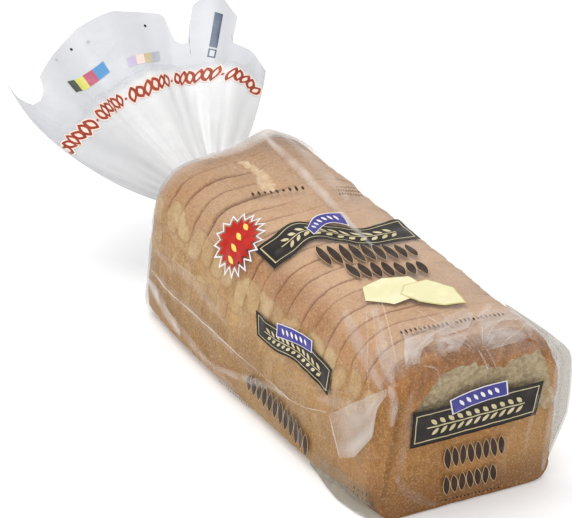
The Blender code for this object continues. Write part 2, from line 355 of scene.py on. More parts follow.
def film_body():
    """The film from the middle of its closed end, along the loaf and in to the neck."""
    s = np.linspace(-FILM.half, FILM.half, AROUND, endpoint=False)
    front = on_film(s, FRONT_Y)
    rows = []
    for k in range(FRONT_ROWS):
        keep = (k + 0.35) / FRONT_ROWS
        x = front[:, 0] * keep
        z = HEIGHT / 2 + (front[:, 2] - HEIGHT / 2) * keep
        rows.append(on_front(x, z))
    bend = FRONT_Y + FRONT_ROUNDING * (1 - np.cos(np.linspace(0, math.pi / 2, 6)))
    for y in np.concatenate([bend[:-1], np.linspace(bend[-1], REAR_Y - REAR_ROUNDING, BODY_ROWS)]):
        rows.append(on_film(s, y))
    start, waist = rows[-1], neck_ring(-NECK_HALF_LENGTH)
    turn = ring_turn()
    pleats = 0.6 * np.cos(19 * turn + 2 * np.sin(2 * turn)) + 0.4 * np.cos(31 * turn + 1)
    for k in range(1, REAR_ROWS + 1):
        a = k / (REAR_ROWS + 1) * math.pi / 2
        keep = math.cos(a) ** (2 / REAR_POWER)
        along = math.sin(a) ** (2 / REAR_POWER)
        ring = waist + (start - waist) * keep
        ring[:, 1] = start[:, 1] + (waist[:, 1] - start[:, 1]) * along
        ring[:, 1] -= 2.6 * MM * (1 - keep) * keep**0.3 * (pleats + 0.3)
        ring[:, 2] = np.maximum(ring[:, 2], 0)
        rows.append(ring)
    rows += [waist, neck_ring(NECK_HALF_LENGTH)]
    grid = np.stack(rows)
    x, y, z = grid[..., 0], grid[..., 1], grid[..., 2]
    top = rise(z, 0.085, 0.018)
    right = rise(x, -0.020, 0.060)
    gather = rise(y - REAR_Y, -0.004, 0.010) + 0.35 * rise(y - REAR_Y, -0.016, 0.010)
    front = 1 - rise(y - FRONT_Y, 0.004, 0.010)
    rear_top = top * rise(y, 0.105, 0.030)
    fan = np.stack([x + 0.35 * (y - FRONT_Y) * np.sign(x), 0.06 * y], -1)
    streak = 0.5 + 0.5 * waves(fan, 0.009, 23)
    front_top = rise(z, 0.090, 0.010) * (1 - rise(y - FRONT_Y, 0.012, 0.040))
    front_top = front_top * smooth((y - FRONT_Y) / 0.006) * (1 - 0.6 * rise(x, 0.015, 0.020))
    # painted sheen: the film is hazier on the top, more so to +X and over the rear of the crown, with
    # streaks of painted highlight over the front of the crown; the gathered film at the rear is really
    # hazier
    haze = 0.02 + 0.05 * top + 0.15 * top * right + 0.40 * gather
    haze = haze + rear_top * (0.07 + 0.12 * right) + front_top * (0.03 + 0.13 * np.clip(streak, 0, 1.4))
    haze = haze + (0.02 * waves(grid, 0.035, 21) + 0.015 * waves(grid, 0.012, 22)) * (1 - 0.7 * front)
    sheets = Sheets()
    sheets.add(grid, closed=True, haze=np.clip(haze, 0.0, 0.9), milk=np.clip(0.55 + 0.35 * gather, 0, 1))
    return sheets


def straight_line(line, count):
    """Evenly spaced points along a broken line."""
    line = np.asarray(line, float)
    run = run_of(line)
    at = np.linspace(0, run[-1], count)
    return np.stack([np.interp(at, run, part) for part in line.T], 1)


def smooth_line(line, count):
    """A smooth curve through the points of a line, as evenly spaced points."""
    line = np.asarray(line, float)
    before = np.vstack([2 * line[0] - line[1], line, 2 * line[-1] - line[-2]])
    pieces = []
    for k in range(len(line) - 1):
        p0, p1, p2, p3 = before[k:k + 4]
        t = np.linspace(0, 1, 16, endpoint=False)[:, None]
        curve = 2 * p1 + (p2 - p0) * t + (2 * p0 - 5 * p1 + 4 * p2 - p3) * t**2
        pieces.append(0.5 * (curve + (3 * p1 - p0 - 3 * p2 + p3) * t**3))
    return straight_line(np.vstack([*pieces, line[-1:]]), count)


def beside(line):
    """The way to the left of a line at each of its points."""
    way = np.gradient(line, axis=0)
    way /= np.linalg.norm(way, axis=1)[:, None] + 1e-9
    return np.stack([-way[:, 1], way[:, 0]], 1)


FOLD_COLUMNS = 40
FOLD_ROWS = 21
BROAD_LINE = 1.5


def lay_fold(sheets, surface, edge_a, edge_b, lifts, hazes_and_sheens, milk=0.7):
    """A piece of doubled film between two lines on a surface, in mm, streaked along them."""
    a, b = straight_line(edge_a, FOLD_COLUMNS), straight_line(edge_b, FOLD_COLUMNS)
    t = np.linspace(0, 1, FOLD_ROWS)[:, None]
    along = np.linspace(0, 1, FOLD_COLUMNS)[None, :]
    spots = (a + (b - a) * t[..., None]) * MM
    lift = (lifts[0] + (lifts[1] - lifts[0]) * t) * MM
    width = math.dist(edge_a[0], edge_b[0]) + math.dist(edge_a[-1], edge_b[-1])
    run = np.stack(np.broadcast_arrays(t * width / 2, 4 * along), -1) * MM
    haze = hazes_and_sheens[0] + (hazes_and_sheens[1] - hazes_and_sheens[0]) * t
    haze = haze * (1 + 0.16 * waves(run, 0.0060, 70 + len(sheets.points))) + 0.03 * waves(spots, 0.014, 71)
    haze = haze * (0.35 + 0.65 * smooth(along / 0.25) * smooth((1 - along) / 0.12))
    sheets.add(surface(*np.moveaxis(spots, -1, 0), lift), haze=np.clip(haze, 0.01, 0.95), milk=milk)


def lay_line(sheets, surface, line, width, haze, lift):
    """A whiter strip of film along a fold line, partly doubled film and partly painted highlight,
    narrowing to its ends and soft at its sides.
    """
    middle = smooth_line(line, 3 * FOLD_COLUMNS)
    broad = width > BROAD_LINE
    t = np.linspace(-0.5, 0.5, 9 if broad else 3)[:, None]
    taper = np.sin(math.pi * np.linspace(0.04, 0.96, len(middle)))[:, None] ** 0.5
    spots = (middle + beside(middle) * taper * width * t[..., None]) * MM
    off = (lift + 0.25 * (1 - 2 * np.abs(t))) * MM
    soft = (1 - (2 * t) ** 2 * (0.98 if broad else 0.4)) * (0.75 + 0.25 * waves(spots, 0.02, 73))
    sheets.add(surface(*np.moveaxis(spots, -1, 0), off), haze=np.clip(haze * soft, 0, 1), milk=0.85)


LEFT_EAR = (
    ((-101.8, -85.2), (-82.4, -107.1), (-73.3, -117.6), (-62.5, -129.8)),
    ((-122.7, -99.7), (-115.4, -112.4), (-95.2, -125.1), (-77.0, -125.5), (-64.5, -130.8)),
)
FOOT = (
    ((-134, -66), (-131, -96), (-130, -127)),
    ((-147, -72), (-148, -100), (-147, -128)),
)
TUCKS = (
    # pale folds over the front end of the crown, their paleness partly doubled film and partly painted
    # highlight: two edges and the haze at each
    (((-38, -71.4), (-38.3, -88.9), (-52.7, -107.3)),
     ((-29.3, -70.7), (-38, -88), (-52, -107)), 0.10, 0.36),
    (((-47.9, -130.6), (-41.5, -118), (-33.5, -106.8)),
     ((-40.6, -133.1), (-32.4, -123.9), (-23.7, -120.9), (-17.2, -113.1)), 0.46, 0.34),
    (((-25.2, -132.9), (-17.4, -127.9), (-19.4, -119.5)),
     ((-15.0, -134.0), (-4.3, -126.6), (-1.9, -118.9)), 0.38, 0.28),
    (((2.0, -134.1), (6, -124), (26.0, -124)), ((4.4, -135.7), (18, -135.6), (34.7, -135.3)), 0.26, 0.36),
    (((-19, -119), (4, -116), (16.9, -103.2)), ((-33, -106), (-8, -104), (14, -96)), 0.34, 0.10),
    (((6, -124), (24, -117), (40, -118)), ((17, -103), (30, -104), (43, -106)), 0.32, 0.10),
    (((-50, -100), (-58, -112), (-66, -122)), ((-42, -112), (-50, -122), (-58, -131)), 0.05, 0.16),
)
FOLD_EDGE_GLINTS = (
    # whiter strips along fold edges, partly doubled film and partly painted highlight: line, width in mm,
    # haze
    (((-4, -135), (-10, -104), (-13, -88)), 0.6, 0.50),
    (((-2, -135), (-4, -108), (-1, -92)), 0.5, 0.40),
    (((1, -135), (11, -119), (20, -106)), 0.6, 0.48),
    (((4, -135), (22, -125), (38, -117)), 0.6, 0.44),
    (((-6, -135), (-20, -110), (-29, -94)), 0.6, 0.42),
    (((-8, -135), (-26, -118), (-38, -100)), 0.5, 0.36),
    (((-52, -129), (-38, -98), (-24, -66)), 0.7, 0.42),
    (((-58, -120), (-46, -96), (-33, -72)), 0.6, 0.38),
    (((-44, -133), (-36, -112), (-30, -95)), 0.6, 0.40),
    (((14, -136), (30, -130), (44, -118)), 0.6, 0.40),
    (SIDE_CREASE, 0.8, 0.78),
    (((-101.8, -85.2), (-112, -92), (-122.7, -99.7)), 1.0, 0.75),
    (((-101.8, -85.2), (-82.4, -107.1), (-62.5, -129.8)), 0.8, 0.35),
    (CROWN_CREASE, 0.8, 0.45),
    (CORNER_CREASE, 0.7, 0.32),
    (((40, -96), (14, -110), (-8, -128)), 0.7, 0.36),
    (((-16, -95), (-30, -118), (-36, -134)), 0.6, 0.36),
    (((46, -108), (20, -120), (3, -134)), 0.7, 0.42),
    (((-60, -112), (-80, -98), (-96, -60), (-104, -20)), 0.6, 0.16),
    (((-112, 39), (-120, -20), (-128, -62)), 0.6, 0.14),
    (REAR_CREASE, 0.7, 0.20),
    (((-72, 120), (-80, 88), (-84, 60)), 0.7, 0.15),
    (((-30, 134), (-20, 118), (-16, 96)), 0.7, 0.25),
)
SOFT_FOLD_SHEENS = (
    # wide soft fold bands, whitened partly by doubled film and partly by painted sheen
    (((-46, -62), (-56, -92), (-66, -124)), 10.0, 0.22),
    (((-36, -86), (-50, -108), (-60, -132)), 8.0, 0.24),
    (((2, -100), (-14, -116), (-26, -134)), 9.0, 0.22),
    (((30, -98), (18, -112), (8, -134)), 10.0, 0.20),
    (((46, -100), (40, -116), (36, -134)), 8.0, 0.20),
    (((-136.5, 59), (-135.3, 37), (-125.4, 4), (-116.8, -23), (-113.6, -43)), 6.0, 0.26),
    (((13, 130), (12.3, 82), (8.8, 27.4), (6, -10)), 7.0, 0.40),
    (((24, 120), (25, 80), (20, 40)), 12.0, 0.20),
    (((-116, 128), (-114, 80), (-116, 20)), 9.0, 0.14),
    (((-125, 133), (-127, 118), (-131, 102), (-136, 82)), 12.0, 0.56),
    (((-130, 92), (-136, 56), (-140, 16)), 9.0, 0.16),
    (((-100, 126), (-96, 80), (-102, 30)), 8.0, 0.12),
    (((-99, -70), (-90, -95), (-84, -112)), 8.0, 0.14),
    (((-30, 130), (-12, 128), (16, 128), (46, 128)), 14.0, 0.40),
)
FRONT_GLINT_BANDS = (
    # pale strips on the front face, partly film folds and partly painted highlight: line, width in mm,
    # haze
    (((-3, 103), (2, 95), (6, 86)), 1.6, 0.34),
    (((2, 103), (8, 94), (12, 86)), 1.6, 0.26),
    (((-40, 102), (-30, 96), (-27, 84)), 1.6, 0.24),
    (((-46, 86), (-47, 60), (-50, 26)), 8.0, 0.10),
    (((-62, 94), (-58, 82), (-58, 66)), 7.0, 0.36),
    (((44, 62), (40, 42), (38, 22)), 3.5, 0.12),
    (((55, 82), (55, 40), (53, 8)), 7.0, 0.24),
    (((-52, 30), (-40, 16), (-22, 4)), 7.0, 0.08),
    (((30, 46), (24, 30), (26, 12)), 5.0, 0.06),
)
EAR_EDGE = (
    # x, y, z in mm, from the shoulder round the ear's tip to the base
    (54.0, -84, 92), (57.0, -100, 91), (60.0, -118, 90), (62.5, -131, 88.0), (66.6, -132, 83.0),
    (69.4, -132, 76.0), (70.6, -132, 66.0), (71.0, -132, 53.6), (70.2, -132, 40.0),
    (66.1, -132, 28.4), (62.0, -132, 17.0), (57.8, -132, 6.0),
)
EAR_ROOT = (
    (53.5, -84, 91), (54.5, -100, 88), (54.0, -118, 84), (50.0, -128, 80), (48.0, -131, 74),
    (47.0, -131, 68), (46.0, -131, 60), (46.0, -131, 50), (46.0, -131, 38),
    (46.0, -131, 26), (46.0, -131, 15), (46.0, -131, 5),
)

FOOT_FLAP = (
    # x and y in mm where the loose film at the -X front corner meets the floor
    (-61.0, -62), (-62.4, -74), (-65.2, -87), (-66.8, -101), (-66.4, -107), (-65.6, -113), (-64.4, -120),
    (-62.2, -126), (-58.5, -133),
)
FOOT_FLAP_TOP = ((-132, 5), (-112, 9), (-98, 15), (-64, 6))
FOOT_FLAP_ROOT = -59.5
FOOT_FLAP_LOW = 0.6
FOOT_FLAP_FRONT = -134.5
FOOT_FLAP_GRID = (12, 60)
EAR_GRID = (18, 90)
EAR_LEAVES = (
    # how far a leaf lies behind the ear's lines in mm, and its haze
    (0.4, 0.50),
    (2.0, 0.40),
)


def add_foot_flap(sheets):
    """Loose film that spreads on the floor at the -X front corner."""
    rows, columns = FOOT_FLAP_GRID
    edge = straight_line(FOOT_FLAP, columns)
    top = np.interp(edge[:, 1], *zip(*FOOT_FLAP_TOP))
    t = np.linspace(0, 1, rows)[:, None]
    grid = np.empty((rows, columns, 3))
    grid[..., 0] = FOOT_FLAP_ROOT + (edge[:, 0] - FOOT_FLAP_ROOT) * t**1.4
    grid[..., 1] = np.maximum(edge[:, 1], FOOT_FLAP_FRONT)
    grid[..., 2] = FOOT_FLAP_LOW + (top - FOOT_FLAP_LOW) * (1 - t) ** 1.3
    grid[..., 0] += 0.5 * waves(grid[..., 1:], 9.0, 78) * np.sin(math.pi * t)
    haze = 0.68 + 0.18 * rise(t, 0.80, 0.2) + 0.05 * waves(grid[..., 1:], 12.0, 79)
    sheets.add(grid * MM, haze=np.clip(haze * smooth(t / 0.35), 0.02, 0.9), milk=0.0)


def add_front_ear(sheets):
    """The ear that stands out at the +X front corner, in two leaves."""
    rows, columns = EAR_GRID
    edge, root = straight_line(EAR_EDGE, columns) * MM, straight_line(EAR_ROOT, columns) * MM
    t = np.linspace(0, 1, rows)[:, None]
    lines = 0.10 * bell(t, 0.72, 0.03) + 0.16 * rise(t, 0.93, 0.07)
    for offset, haze in EAR_LEAVES:
        grid = root + (edge - root) * t[..., None]
        stir = 0.3 * MM * waves(grid[..., ::2], 0.035, 77)
        grid[..., 1] = np.maximum(grid[..., 1] + offset * MM + stir, FRONT_Y + 0.002)
        sheets.add(grid, haze=haze + lines, milk=0.05 + 0.5 * rise(t, 0.93, 0.07))


def film_folds():
    """Doubled film: ears, tucks and fold edges that lie on the pack, the edges and bands whitened partly
    by painted highlight and sheen.
    """
    sheets = Sheets()
    lay_fold(sheets, on_film, *LEFT_EAR, (1.0, 1.6), (0.30, 0.44))
    lay_fold(sheets, on_film, *FOOT, (0.8, 0.6), (0.14, 0.38), 0.0)
    for edge_a, edge_b, *hazes_and_sheens in TUCKS:
        lay_fold(sheets, on_film, edge_a, edge_b, (0.5, 0.8), hazes_and_sheens)
    tables = (FOLD_EDGE_GLINTS, on_film, 1.4), (SOFT_FOLD_SHEENS, on_film, 0.4), (FRONT_GLINT_BANDS, on_front, 0.5)
    for table, surface, lift in tables:
        for line, width, haze in table:
            lay_line(sheets, surface, line, width, haze, lift)
    add_foot_flap(sheets)
    add_front_ear(sheets)
    return sheets


# The flared tail: places on it are (across, along) from the neck, in the tail's plane

GAP_AT_NECK = 0.0070
GAP_AT_RIM = 0.0080
WAVE_HEIGHT = 0.0045
WAVES = 3.2
TAIL_CUP = 0.010
NEAR_RIM_FLAT = 0.78
NEAR_RIM_SEEN = 0.104
FAR_RIM = (
    # place across the fan from right to left, and the reach there in mm
    (-1.0, 114), (-0.978, 119), (-0.93, 126), (-0.90, 128), (-0.785, 128.5), (-0.777, 150),
    (-0.70, 158), (-0.65, 164), (-0.57, 160), (-0.515, 153), (-0.508, 128), (-0.486, 127),
    (-0.455, 130), (-0.444, 134), (-0.436, 148), (-0.42, 151), (-0.367, 153), (-0.241, 154),
    (-0.134, 154), (0.052, 153), (0.148, 153), (0.245, 150), (0.395, 146), (0.56, 142),
    (0.655, 140), (0.668, 136), (0.69, 132.5), (0.75, 130.5), (0.813, 133), (0.86, 138),
    (0.906, 144), (0.95, 152), (0.985, 157), (1.0, 157),
)
FLAP_SPAN = (-0.781, -0.511)
FLAP_LEAN = 2.8
FLAP_ROOT = 0.128
TAIL_COLUMNS = 320
TAIL_ROWS = 64


def tail_half(m, r):
    """Half the fan's angle on the side that m is on."""
    far = (r / TAIL_SIZE) ** 2
    left = TAIL_HALF_LEFT * (1 - LEFT_NARROWING * far)
    right = TAIL_HALF_RIGHT * (1 - RIGHT_NARROWING * far)
    return np.where(m > 0, left, right)


def tail_angle(m, r):
    """The fan's angle at a place from -1 to 1 across it."""
    return TAIL_CENTRE + m * tail_half(m, r)


def tail_point(m, r, lift):
    """Points of the fan: m from -1 at its right edge to 1 at its left, r the reach from the neck."""
    angle = tail_angle(m, r)
    grow = rise(r, TAIL_START, NEAR_RIM - TAIL_START)
    wave = WAVE_HEIGHT * grow * np.cos(math.pi * WAVES * m + 0.6)
    cup = TAIL_CUP * grow * m * m
    off = (lift + wave + cup)[..., None] * TAIL_NORMAL
    across = (r * np.cos(angle))[..., None] * RIGHT
    return NECK + across + (r * np.sin(angle))[..., None] * TAIL_AXIS + off


def swell(m):
    """How far open the tail is across the fan: 1 in its middle, 0 at its sides."""
    return np.sqrt(np.clip(1 - np.abs(m) ** 5, 0, 1))


def gap(r):
    """Half the distance between the two panels."""
    return GAP_AT_NECK + (GAP_AT_RIM - GAP_AT_NECK) * smooth(r / NEAR_RIM)


def far_rim(m):
    places, reach = zip(*FAR_RIM)
    return np.interp(m, places, reach) * MM


def on_tail(m, r, side, lift=0.0):
    """Points on the near panel (side 1) or the far one (side -1)."""
    m, r = np.broadcast_arrays(m, r)
    angle = tail_angle(m, r)
    fine = 0.5 * MM * waves(np.stack([angle * 0.12, r * 0.25], -1), 0.018, 31 + int(side))
    pleat = np.cos(26 * angle + 3 * np.sin(4 * m) + side) + 0.5 * np.cos(47 * angle)
    tight = 0.5 * MM * pleat * np.exp(-r / 0.040)
    return tail_point(m, r, side * gap(r) * swell(m) + (fine + tight) * swell(m) + lift)


def on_tail_plane(across, along, side, lift):
    """Points on a panel by their place in the tail's plane."""
    r = np.hypot(across, along)
    away = np.arctan2(along, across) - TAIL_CENTRE
    return on_tail(np.clip(away / tail_half(away, r), -1, 1), r, side, lift)


def on_near_panel(across, along, lift):
    return on_tail_plane(across, along, 1, lift)


def on_far_panel(across, along, lift):
    return on_tail_plane(across, along, -1, lift)


def film_tail():
    """The tail's two panels, and the film between them and the neck."""
    sheets = Sheets()
    m = np.sin(np.linspace(-math.pi / 2, math.pi / 2, TAIL_COLUMNS))
    m = 0.35 * m + 0.65 * np.linspace(-1, 1, TAIL_COLUMNS)
    at_fold = rise(np.abs(m), NEAR_RIM_FLAT, 1 - NEAR_RIM_FLAT)
    far = far_rim(m)
    near = NEAR_RIM_SEEN + (far - NEAR_RIM_SEEN) * at_fold
    flap = np.flatnonzero((m > FLAP_SPAN[0]) & (m < FLAP_SPAN[1]))
    start, end = flap[0], flap[-1]
    cut = far.copy()
    cut[start], cut[end] = far[start - 1], far[end + 1]
    panels = (
        (1, m, near, 0),
        (-1, m[:start + 1], cut[:start + 1], 0),
        (-1, m[start:end + 1], far[start:end + 1], FLAP_LEAN),
        (-1, m[end:], cut[end:], 0),
    )
    for side, places, reach, tilt in panels:
        t = np.linspace(0, 1, TAIL_ROWS)[:, None] ** 1.15
        r = TAIL_START + (reach[None, :] - TAIL_START) * t
        columns = places - tilt * np.maximum(r - FLAP_ROOT, 0)
        grid = on_tail(columns, r, side)
        white = 1 - rise(r, 0.096, 0.008)
        left = rise(columns, 0.35, 0.4)
        streak = waves(np.stack([tail_angle(columns, r) * 0.1, r * 0.02], -1), 0.012, 41 + side)
        if side > 0:
            haze = 0.30 + (0.58 - 0.20 * left) * white + 0.06 * streak * white
            milk = 0.20 + 0.80 * white - 0.25 * left * white
        else:
            haze = 0.74 + 0.05 * streak
            milk = 0.12 + 0.06 * streak
        sheets.add(grid, haze=np.clip(haze, 0.05, 0.95), milk=np.clip(milk, 0, 1))
    # from the neck's round ring to the two panels' first rows
    turn = ring_turn()
    upper = (np.sin(turn) >= 0)[:, None]
    first = np.where(upper, *(on_tail(-np.cos(turn), TAIL_START, side) for side in (1, -1)))
    round_neck = neck_ring(NECK_HALF_LENGTH)
    steps = [round_neck + (first - round_neck) * smooth(t) for t in np.linspace(0, 1, 6)]
    sheets.add(np.stack(steps), closed=True, haze=0.7, milk=1.0)
    return sheets


# Bread

SLICES = 19
CUT_ROUNDING = 1.9 * MM
CUT_DEPTH = 0.8 * MM
REAR_ROUND = 2.8 * MM
REAR_DEPTH = 1.15 * MM
BREAD_AROUND = 260
HEEL_INSET = 1.4 * MM
HEEL_ROUNDING = 9.0 * MM
HEEL_ROWS = 46
CUT_CENTRE = 0.051
CUT_KEEPS = (0.25, 0.6, 0.94)
SLICE_GAP = 0.04 * MM
REAR_GAP = 0.10 * MM
REAR_GAPS = 6
CROWN_SHARE = 0.45
CRUMB_TOP = (
    (-60, 58), (-50, 64), (-42, 70), (-36, 75), (-32.4, 80.5), (-28.3, 86.5), (-23.4, 90.5), (-17.1, 92.0),
    (-14.1, 93.0), (-3.7, 92.3), (7.0, 88.3), (17.8, 84.4), (24.3, 88.1), (34.6, 89.6), (42.0, 90.0),
    (47.9, 84.0), (52.0, 72.0), (56.0, 60.0), (60.0, 54.0),
)
CRUMB_BASE = ((-60, 50), (-50, 52), (-44, 56), (-34, 62), (0, 65), (40, 64), (46, 50), (52, 44), (60, 52))
CREASE_FOOT = (-0.0570, 0.020)
CREASE_LEAN = 0.10
PUCKER = ((-7, 118), (-4.5, 108), (-4.6, 98.4), (-10.7, 82))
REAR_STEPS = (0, 0, 0, -0.5, 0.3, -0.7, 0.2, -1.1)
CROWN_FOOT = 0.074
CROWN_BLEND = 0.012
OVERHANG_Z = 0.0835
OVERHANG_SPREAD = 0.0035
CURL_Z = 0.0965
CURL_SPREAD = 0.004
CRUMB_DEPTH = 1.8 * MM
CREASE_RISE = 0.9 * MM
CREASE_SPREAD = 0.0014
# where the random draws start for the cuts, and for each slice's place, tint and lobes
CUTS_SEED = 7
PLACE_SEED = 100
TINT_SEED = 200
LOBE_SEED = 300


def slice_ends():
    """Where along y the loaf is cut."""
    draw = np.random.default_rng(CUTS_SEED)
    thick = 1 + draw.uniform(-0.09, 0.09, SLICES)
    cuts = np.concatenate([[0], np.cumsum(thick)]) / thick.sum()
    return FRONT_Y + HEEL_INSET + (LENGTH - HEEL_INSET - 1.5 * MM) * cuts


LOBES = (
    # height of the middle, half height in mm, and strength
    (72.0, 8.0, 1.0),
    (57.0, 7.0, 0.50),
    (37.0, 12.0, 0.35),
)
LUMPS = (
    # along y, height, half length and half height in mm
    (108.0, 80.0, 11.0, 8.0),
    (78.0, 79.0, 10.0, 5.5),
    (46.0, 79.0, 9.0, 4.0),
    (22.0, 76.0, 8.0, 5.0),
    (0.0, 75.5, 8.5, 6.0),
    (-27.0, 73.5, 7.5, 4.5),
    (-52.0, 77.0, 9.0, 4.5),
)


def lumps(place):
    """1 on the large pale lumps of the -X side, which run across several slices."""
    x, y, z = place.T
    ragged = 0.14 * waves(place, 0.009, 57)
    share = np.zeros_like(x)
    for along, up, half_along, half_up in LUMPS:
        away = np.hypot((y / MM - along) / half_along, (z / MM - up) / half_up) + ragged
        share = np.maximum(share, 1 - rise(away, 0.70, 0.40))
    return 0.85 * share * rise(-x, 0.040, 0.010)


def teeth(index, end, z):
    """1 on the pale lobes of the torn band below the crown, 0 between them."""
    draw = np.random.default_rng(LOBE_SEED + index)
    inside = np.zeros_like(z)
    for middle, half, strength in LOBES:
        centre = (middle + draw.uniform(-3.5, 3.5)) * MM
        reach = half * draw.uniform(0.7, 1.35) * MM
        lean = end * draw.uniform(0.75, 1.1) + draw.uniform(-0.35, 0.35)
        lean = lean + draw.uniform(-25, 25) * (z - centre)
        away = (np.abs(lean) ** 3 + np.abs((z - centre) / reach) ** 3) ** (1 / 3)
        share = strength * draw.uniform(0.5, 1.0)
        inside = np.maximum(inside, share * (1 - rise(away, 0.60, 0.50)))
    return inside


def bread_ring(y, index, inset, shift=(0.0, 0.0), end=0.0, gap_here=SLICE_GAP):
    """One ring of a slice, drawn in by inset, and whether it lies on a pale lobe or the pucker.

    end is -1 to 1 from one cut face to the other: below the crown the slices touch."""
    s = np.linspace(-BREAD.half, BREAD.half, BREAD_AROUND, endpoint=False)
    x, z = BREAD.at(s)
    nx, nz = BREAD.normal(s)
    place = np.stack([x, np.full_like(x, y), z], -1)
    torn = np.maximum(teeth(index, end, z), lumps(place))
    top = rise(z, CROWN_FOOT, CROWN_BLEND)
    start, share = (-0.026, 0.86) if gap_here > SLICE_GAP else (-0.014, 0.92)
    across = rise(x, start, 0.030) * (1 - 0.6 * rise(x, 0.030, 0.020))
    parted = top * (1 - share * across)
    lump = 0.6 * MM * torn + 0.2 * MM * waves(place, 0.007, 52)
    overhang = 0.6 * MM * bell(z, OVERHANG_Z, OVERHANG_SPREAD)
    wall = 0.45 * MM * waves(place, 0.030, 53) * smooth(z / 0.02)
    fine = 0.12 * MM * waves(place, 0.004, 54)
    away, _ = to_line(place[:, :2], np.array(PUCKER) * MM)
    wide = (2.8 * MM + 2.2 * MM * smooth((0.112 - y) / 0.030)) + 0.6 * MM * waves(place, 0.006, 55)
    pucker = bell(away, 0, wide) * top
    off = lump + overhang + wall + fine - 0.7 * MM - inset * (0.04 + 0.96 * parted) - 1.4 * MM * pucker
    hold = smooth(z / 0.004)
    x = bow(x + nx * off, y, z) + shift[0] * parted
    z = np.maximum(z + nz * off * hold, 0.5 * MM) + shift[1] * parted
    z = z + CROWN_SHARE * dome(x, y) * crown_share(z)
    y = y + end * gap_here / 2 * (1 - parted)
    return np.stack([x, y, z], -1), torn, pucker, parted


def cut_face(ring, y, keeps):
    """Rows that close a slice's flat cut face, all of them crumb."""
    centre = np.array([0, y, CUT_CENTRE])
    none = np.zeros(BREAD_AROUND)
    return [(centre + (ring - centre) * keep, none + 1, none, none, none) for keep in keeps]


def slice_rows(index, low, high, gap_here):
    """The rings of one slice as (points, crumb, torn, pucker, cut)."""
    draw = np.random.default_rng(PLACE_SEED + index)
    shift = draw.uniform(-0.5, 0.5, 2) * MM * (1, 0.5)
    shift[1] += REAR_STEPS[max(0, index - SLICES + len(REAR_STEPS))] * MM
    bend = np.linspace(0, 1, 5)
    rounding, depth = (CUT_ROUNDING, CUT_DEPTH) if gap_here == SLICE_GAP else (REAR_ROUND, REAR_DEPTH)
    places = [(low + rounding * b, (1 - b) ** 2) for b in bend]
    places += [(y, 0.0) for y in np.linspace(low + rounding, high - rounding, 10)[1:-1]]
    places += [(high - rounding * b, (1 - b) ** 2) for b in bend[::-1]]
    middle = (low + high) / 2
    none = np.zeros(BREAD_AROUND)
    rows = []
    for y, share in places:
        end = 2 * (y - middle) / (high - low)
        ring, torn, pucker, parted = bread_ring(y, index, share * depth, shift, end, gap_here)
        rows.append((ring, none, torn, pucker, parted * share))
    first = cut_face(rows[0][0], low, CUT_KEEPS)
    return first + rows + cut_face(rows[-1][0], high, CUT_KEEPS[::-1])


def heel_rows(high):
    """The first slice: a crust-covered face with a torn crumb band below the crown."""
    low = FRONT_Y + HEEL_INSET
    none = np.zeros(BREAD_AROUND)
    rows = []
    rim = bread_ring(low, 0, HEEL_ROUNDING)[0]
    centre = np.array([0, low, CENTRE_Z])
    for k in range(HEEL_ROWS):
        row = centre + (rim - centre) * (k + 0.4) / HEEL_ROWS
        rows.append((heel_face(row), heel_band(row), none, none, none))
    for a in np.linspace(0, math.pi / 2, 14)[1:]:
        y = low + HEEL_ROUNDING * (1 - math.cos(a))
        ring, torn, _, _ = bread_ring(y, 0, HEEL_ROUNDING * (1 - math.sin(a)))
        crumb = heel_band(ring) * (1 - rise(a, 0.75, 0.4))
        rows.append((heel_face(ring), crumb, torn * rise(a, 0.7, 0.6), none, none))
    for y in np.linspace(low + HEEL_ROUNDING, high - CUT_ROUNDING, 4)[1:]:
        ring, torn, _, _ = bread_ring(y, 0, 0)
        rows.append((ring, none, torn, none, none))
    for a in np.linspace(0, math.pi / 2, 4)[1:]:
        y = high - CUT_ROUNDING * (1 - math.sin(a))
        share = 1 - math.cos(a)
        ring, torn, _, parted = bread_ring(y, 0, CUT_DEPTH * share, (0, 0), math.sin(a))
        rows.append((ring, none, torn, none, parted * share))
    return rows + cut_face(rows[-1][0], high, CUT_KEEPS[::-1])


def heel_band(points):
    """1 in the torn crumb band across the heel's face."""
    x, z = points[:, 0] / MM, points[:, 2]
    base_x, base_z = zip(*CRUMB_BASE)
    top_x, top_z = zip(*CRUMB_TOP)
    ripple = 0.8 * MM * waves(points[:, :1], 0.008, 61)
    low = np.interp(x, base_x, base_z) * MM + ripple
    high = np.interp(x, top_x, top_z) * MM + ripple
    edge = rise(x, -44, 10) * (1 - 0.45 * rise(x, 44, 8))
    return edge * rise(z, low, 0.005) * (1 - rise(z, high - 0.002, 0.004))


def heel_face(points):
    """The face's relief: the band lies deeper, and the crown's crust curls over it."""
    out = points.copy()
    band = heel_band(points)
    flat = points[:, ::2]
    rough = band * 0.5 * MM * waves(flat, 0.005, 63) + 0.35 * MM * waves(flat, 0.030, 64)
    x, y, z = points.T
    curl = -1.0 * MM * bell(z, CURL_Z, CURL_SPREAD)
    bend = x - CREASE_FOOT[0] - CREASE_LEAN * (z - CREASE_FOOT[1])
    curl = curl + CREASE_RISE * bell(bend, 0, CREASE_SPREAD) * smooth((0.086 - z) / 0.010)
    near = 1 - rise(y, FRONT_Y + 0.003, 0.008)
    out[:, 1] += (band * CRUMB_DEPTH + np.abs(rough) + curl) * near
    return out


ROW_VALUES = ("crumb", "torn", "pucker", "cut")


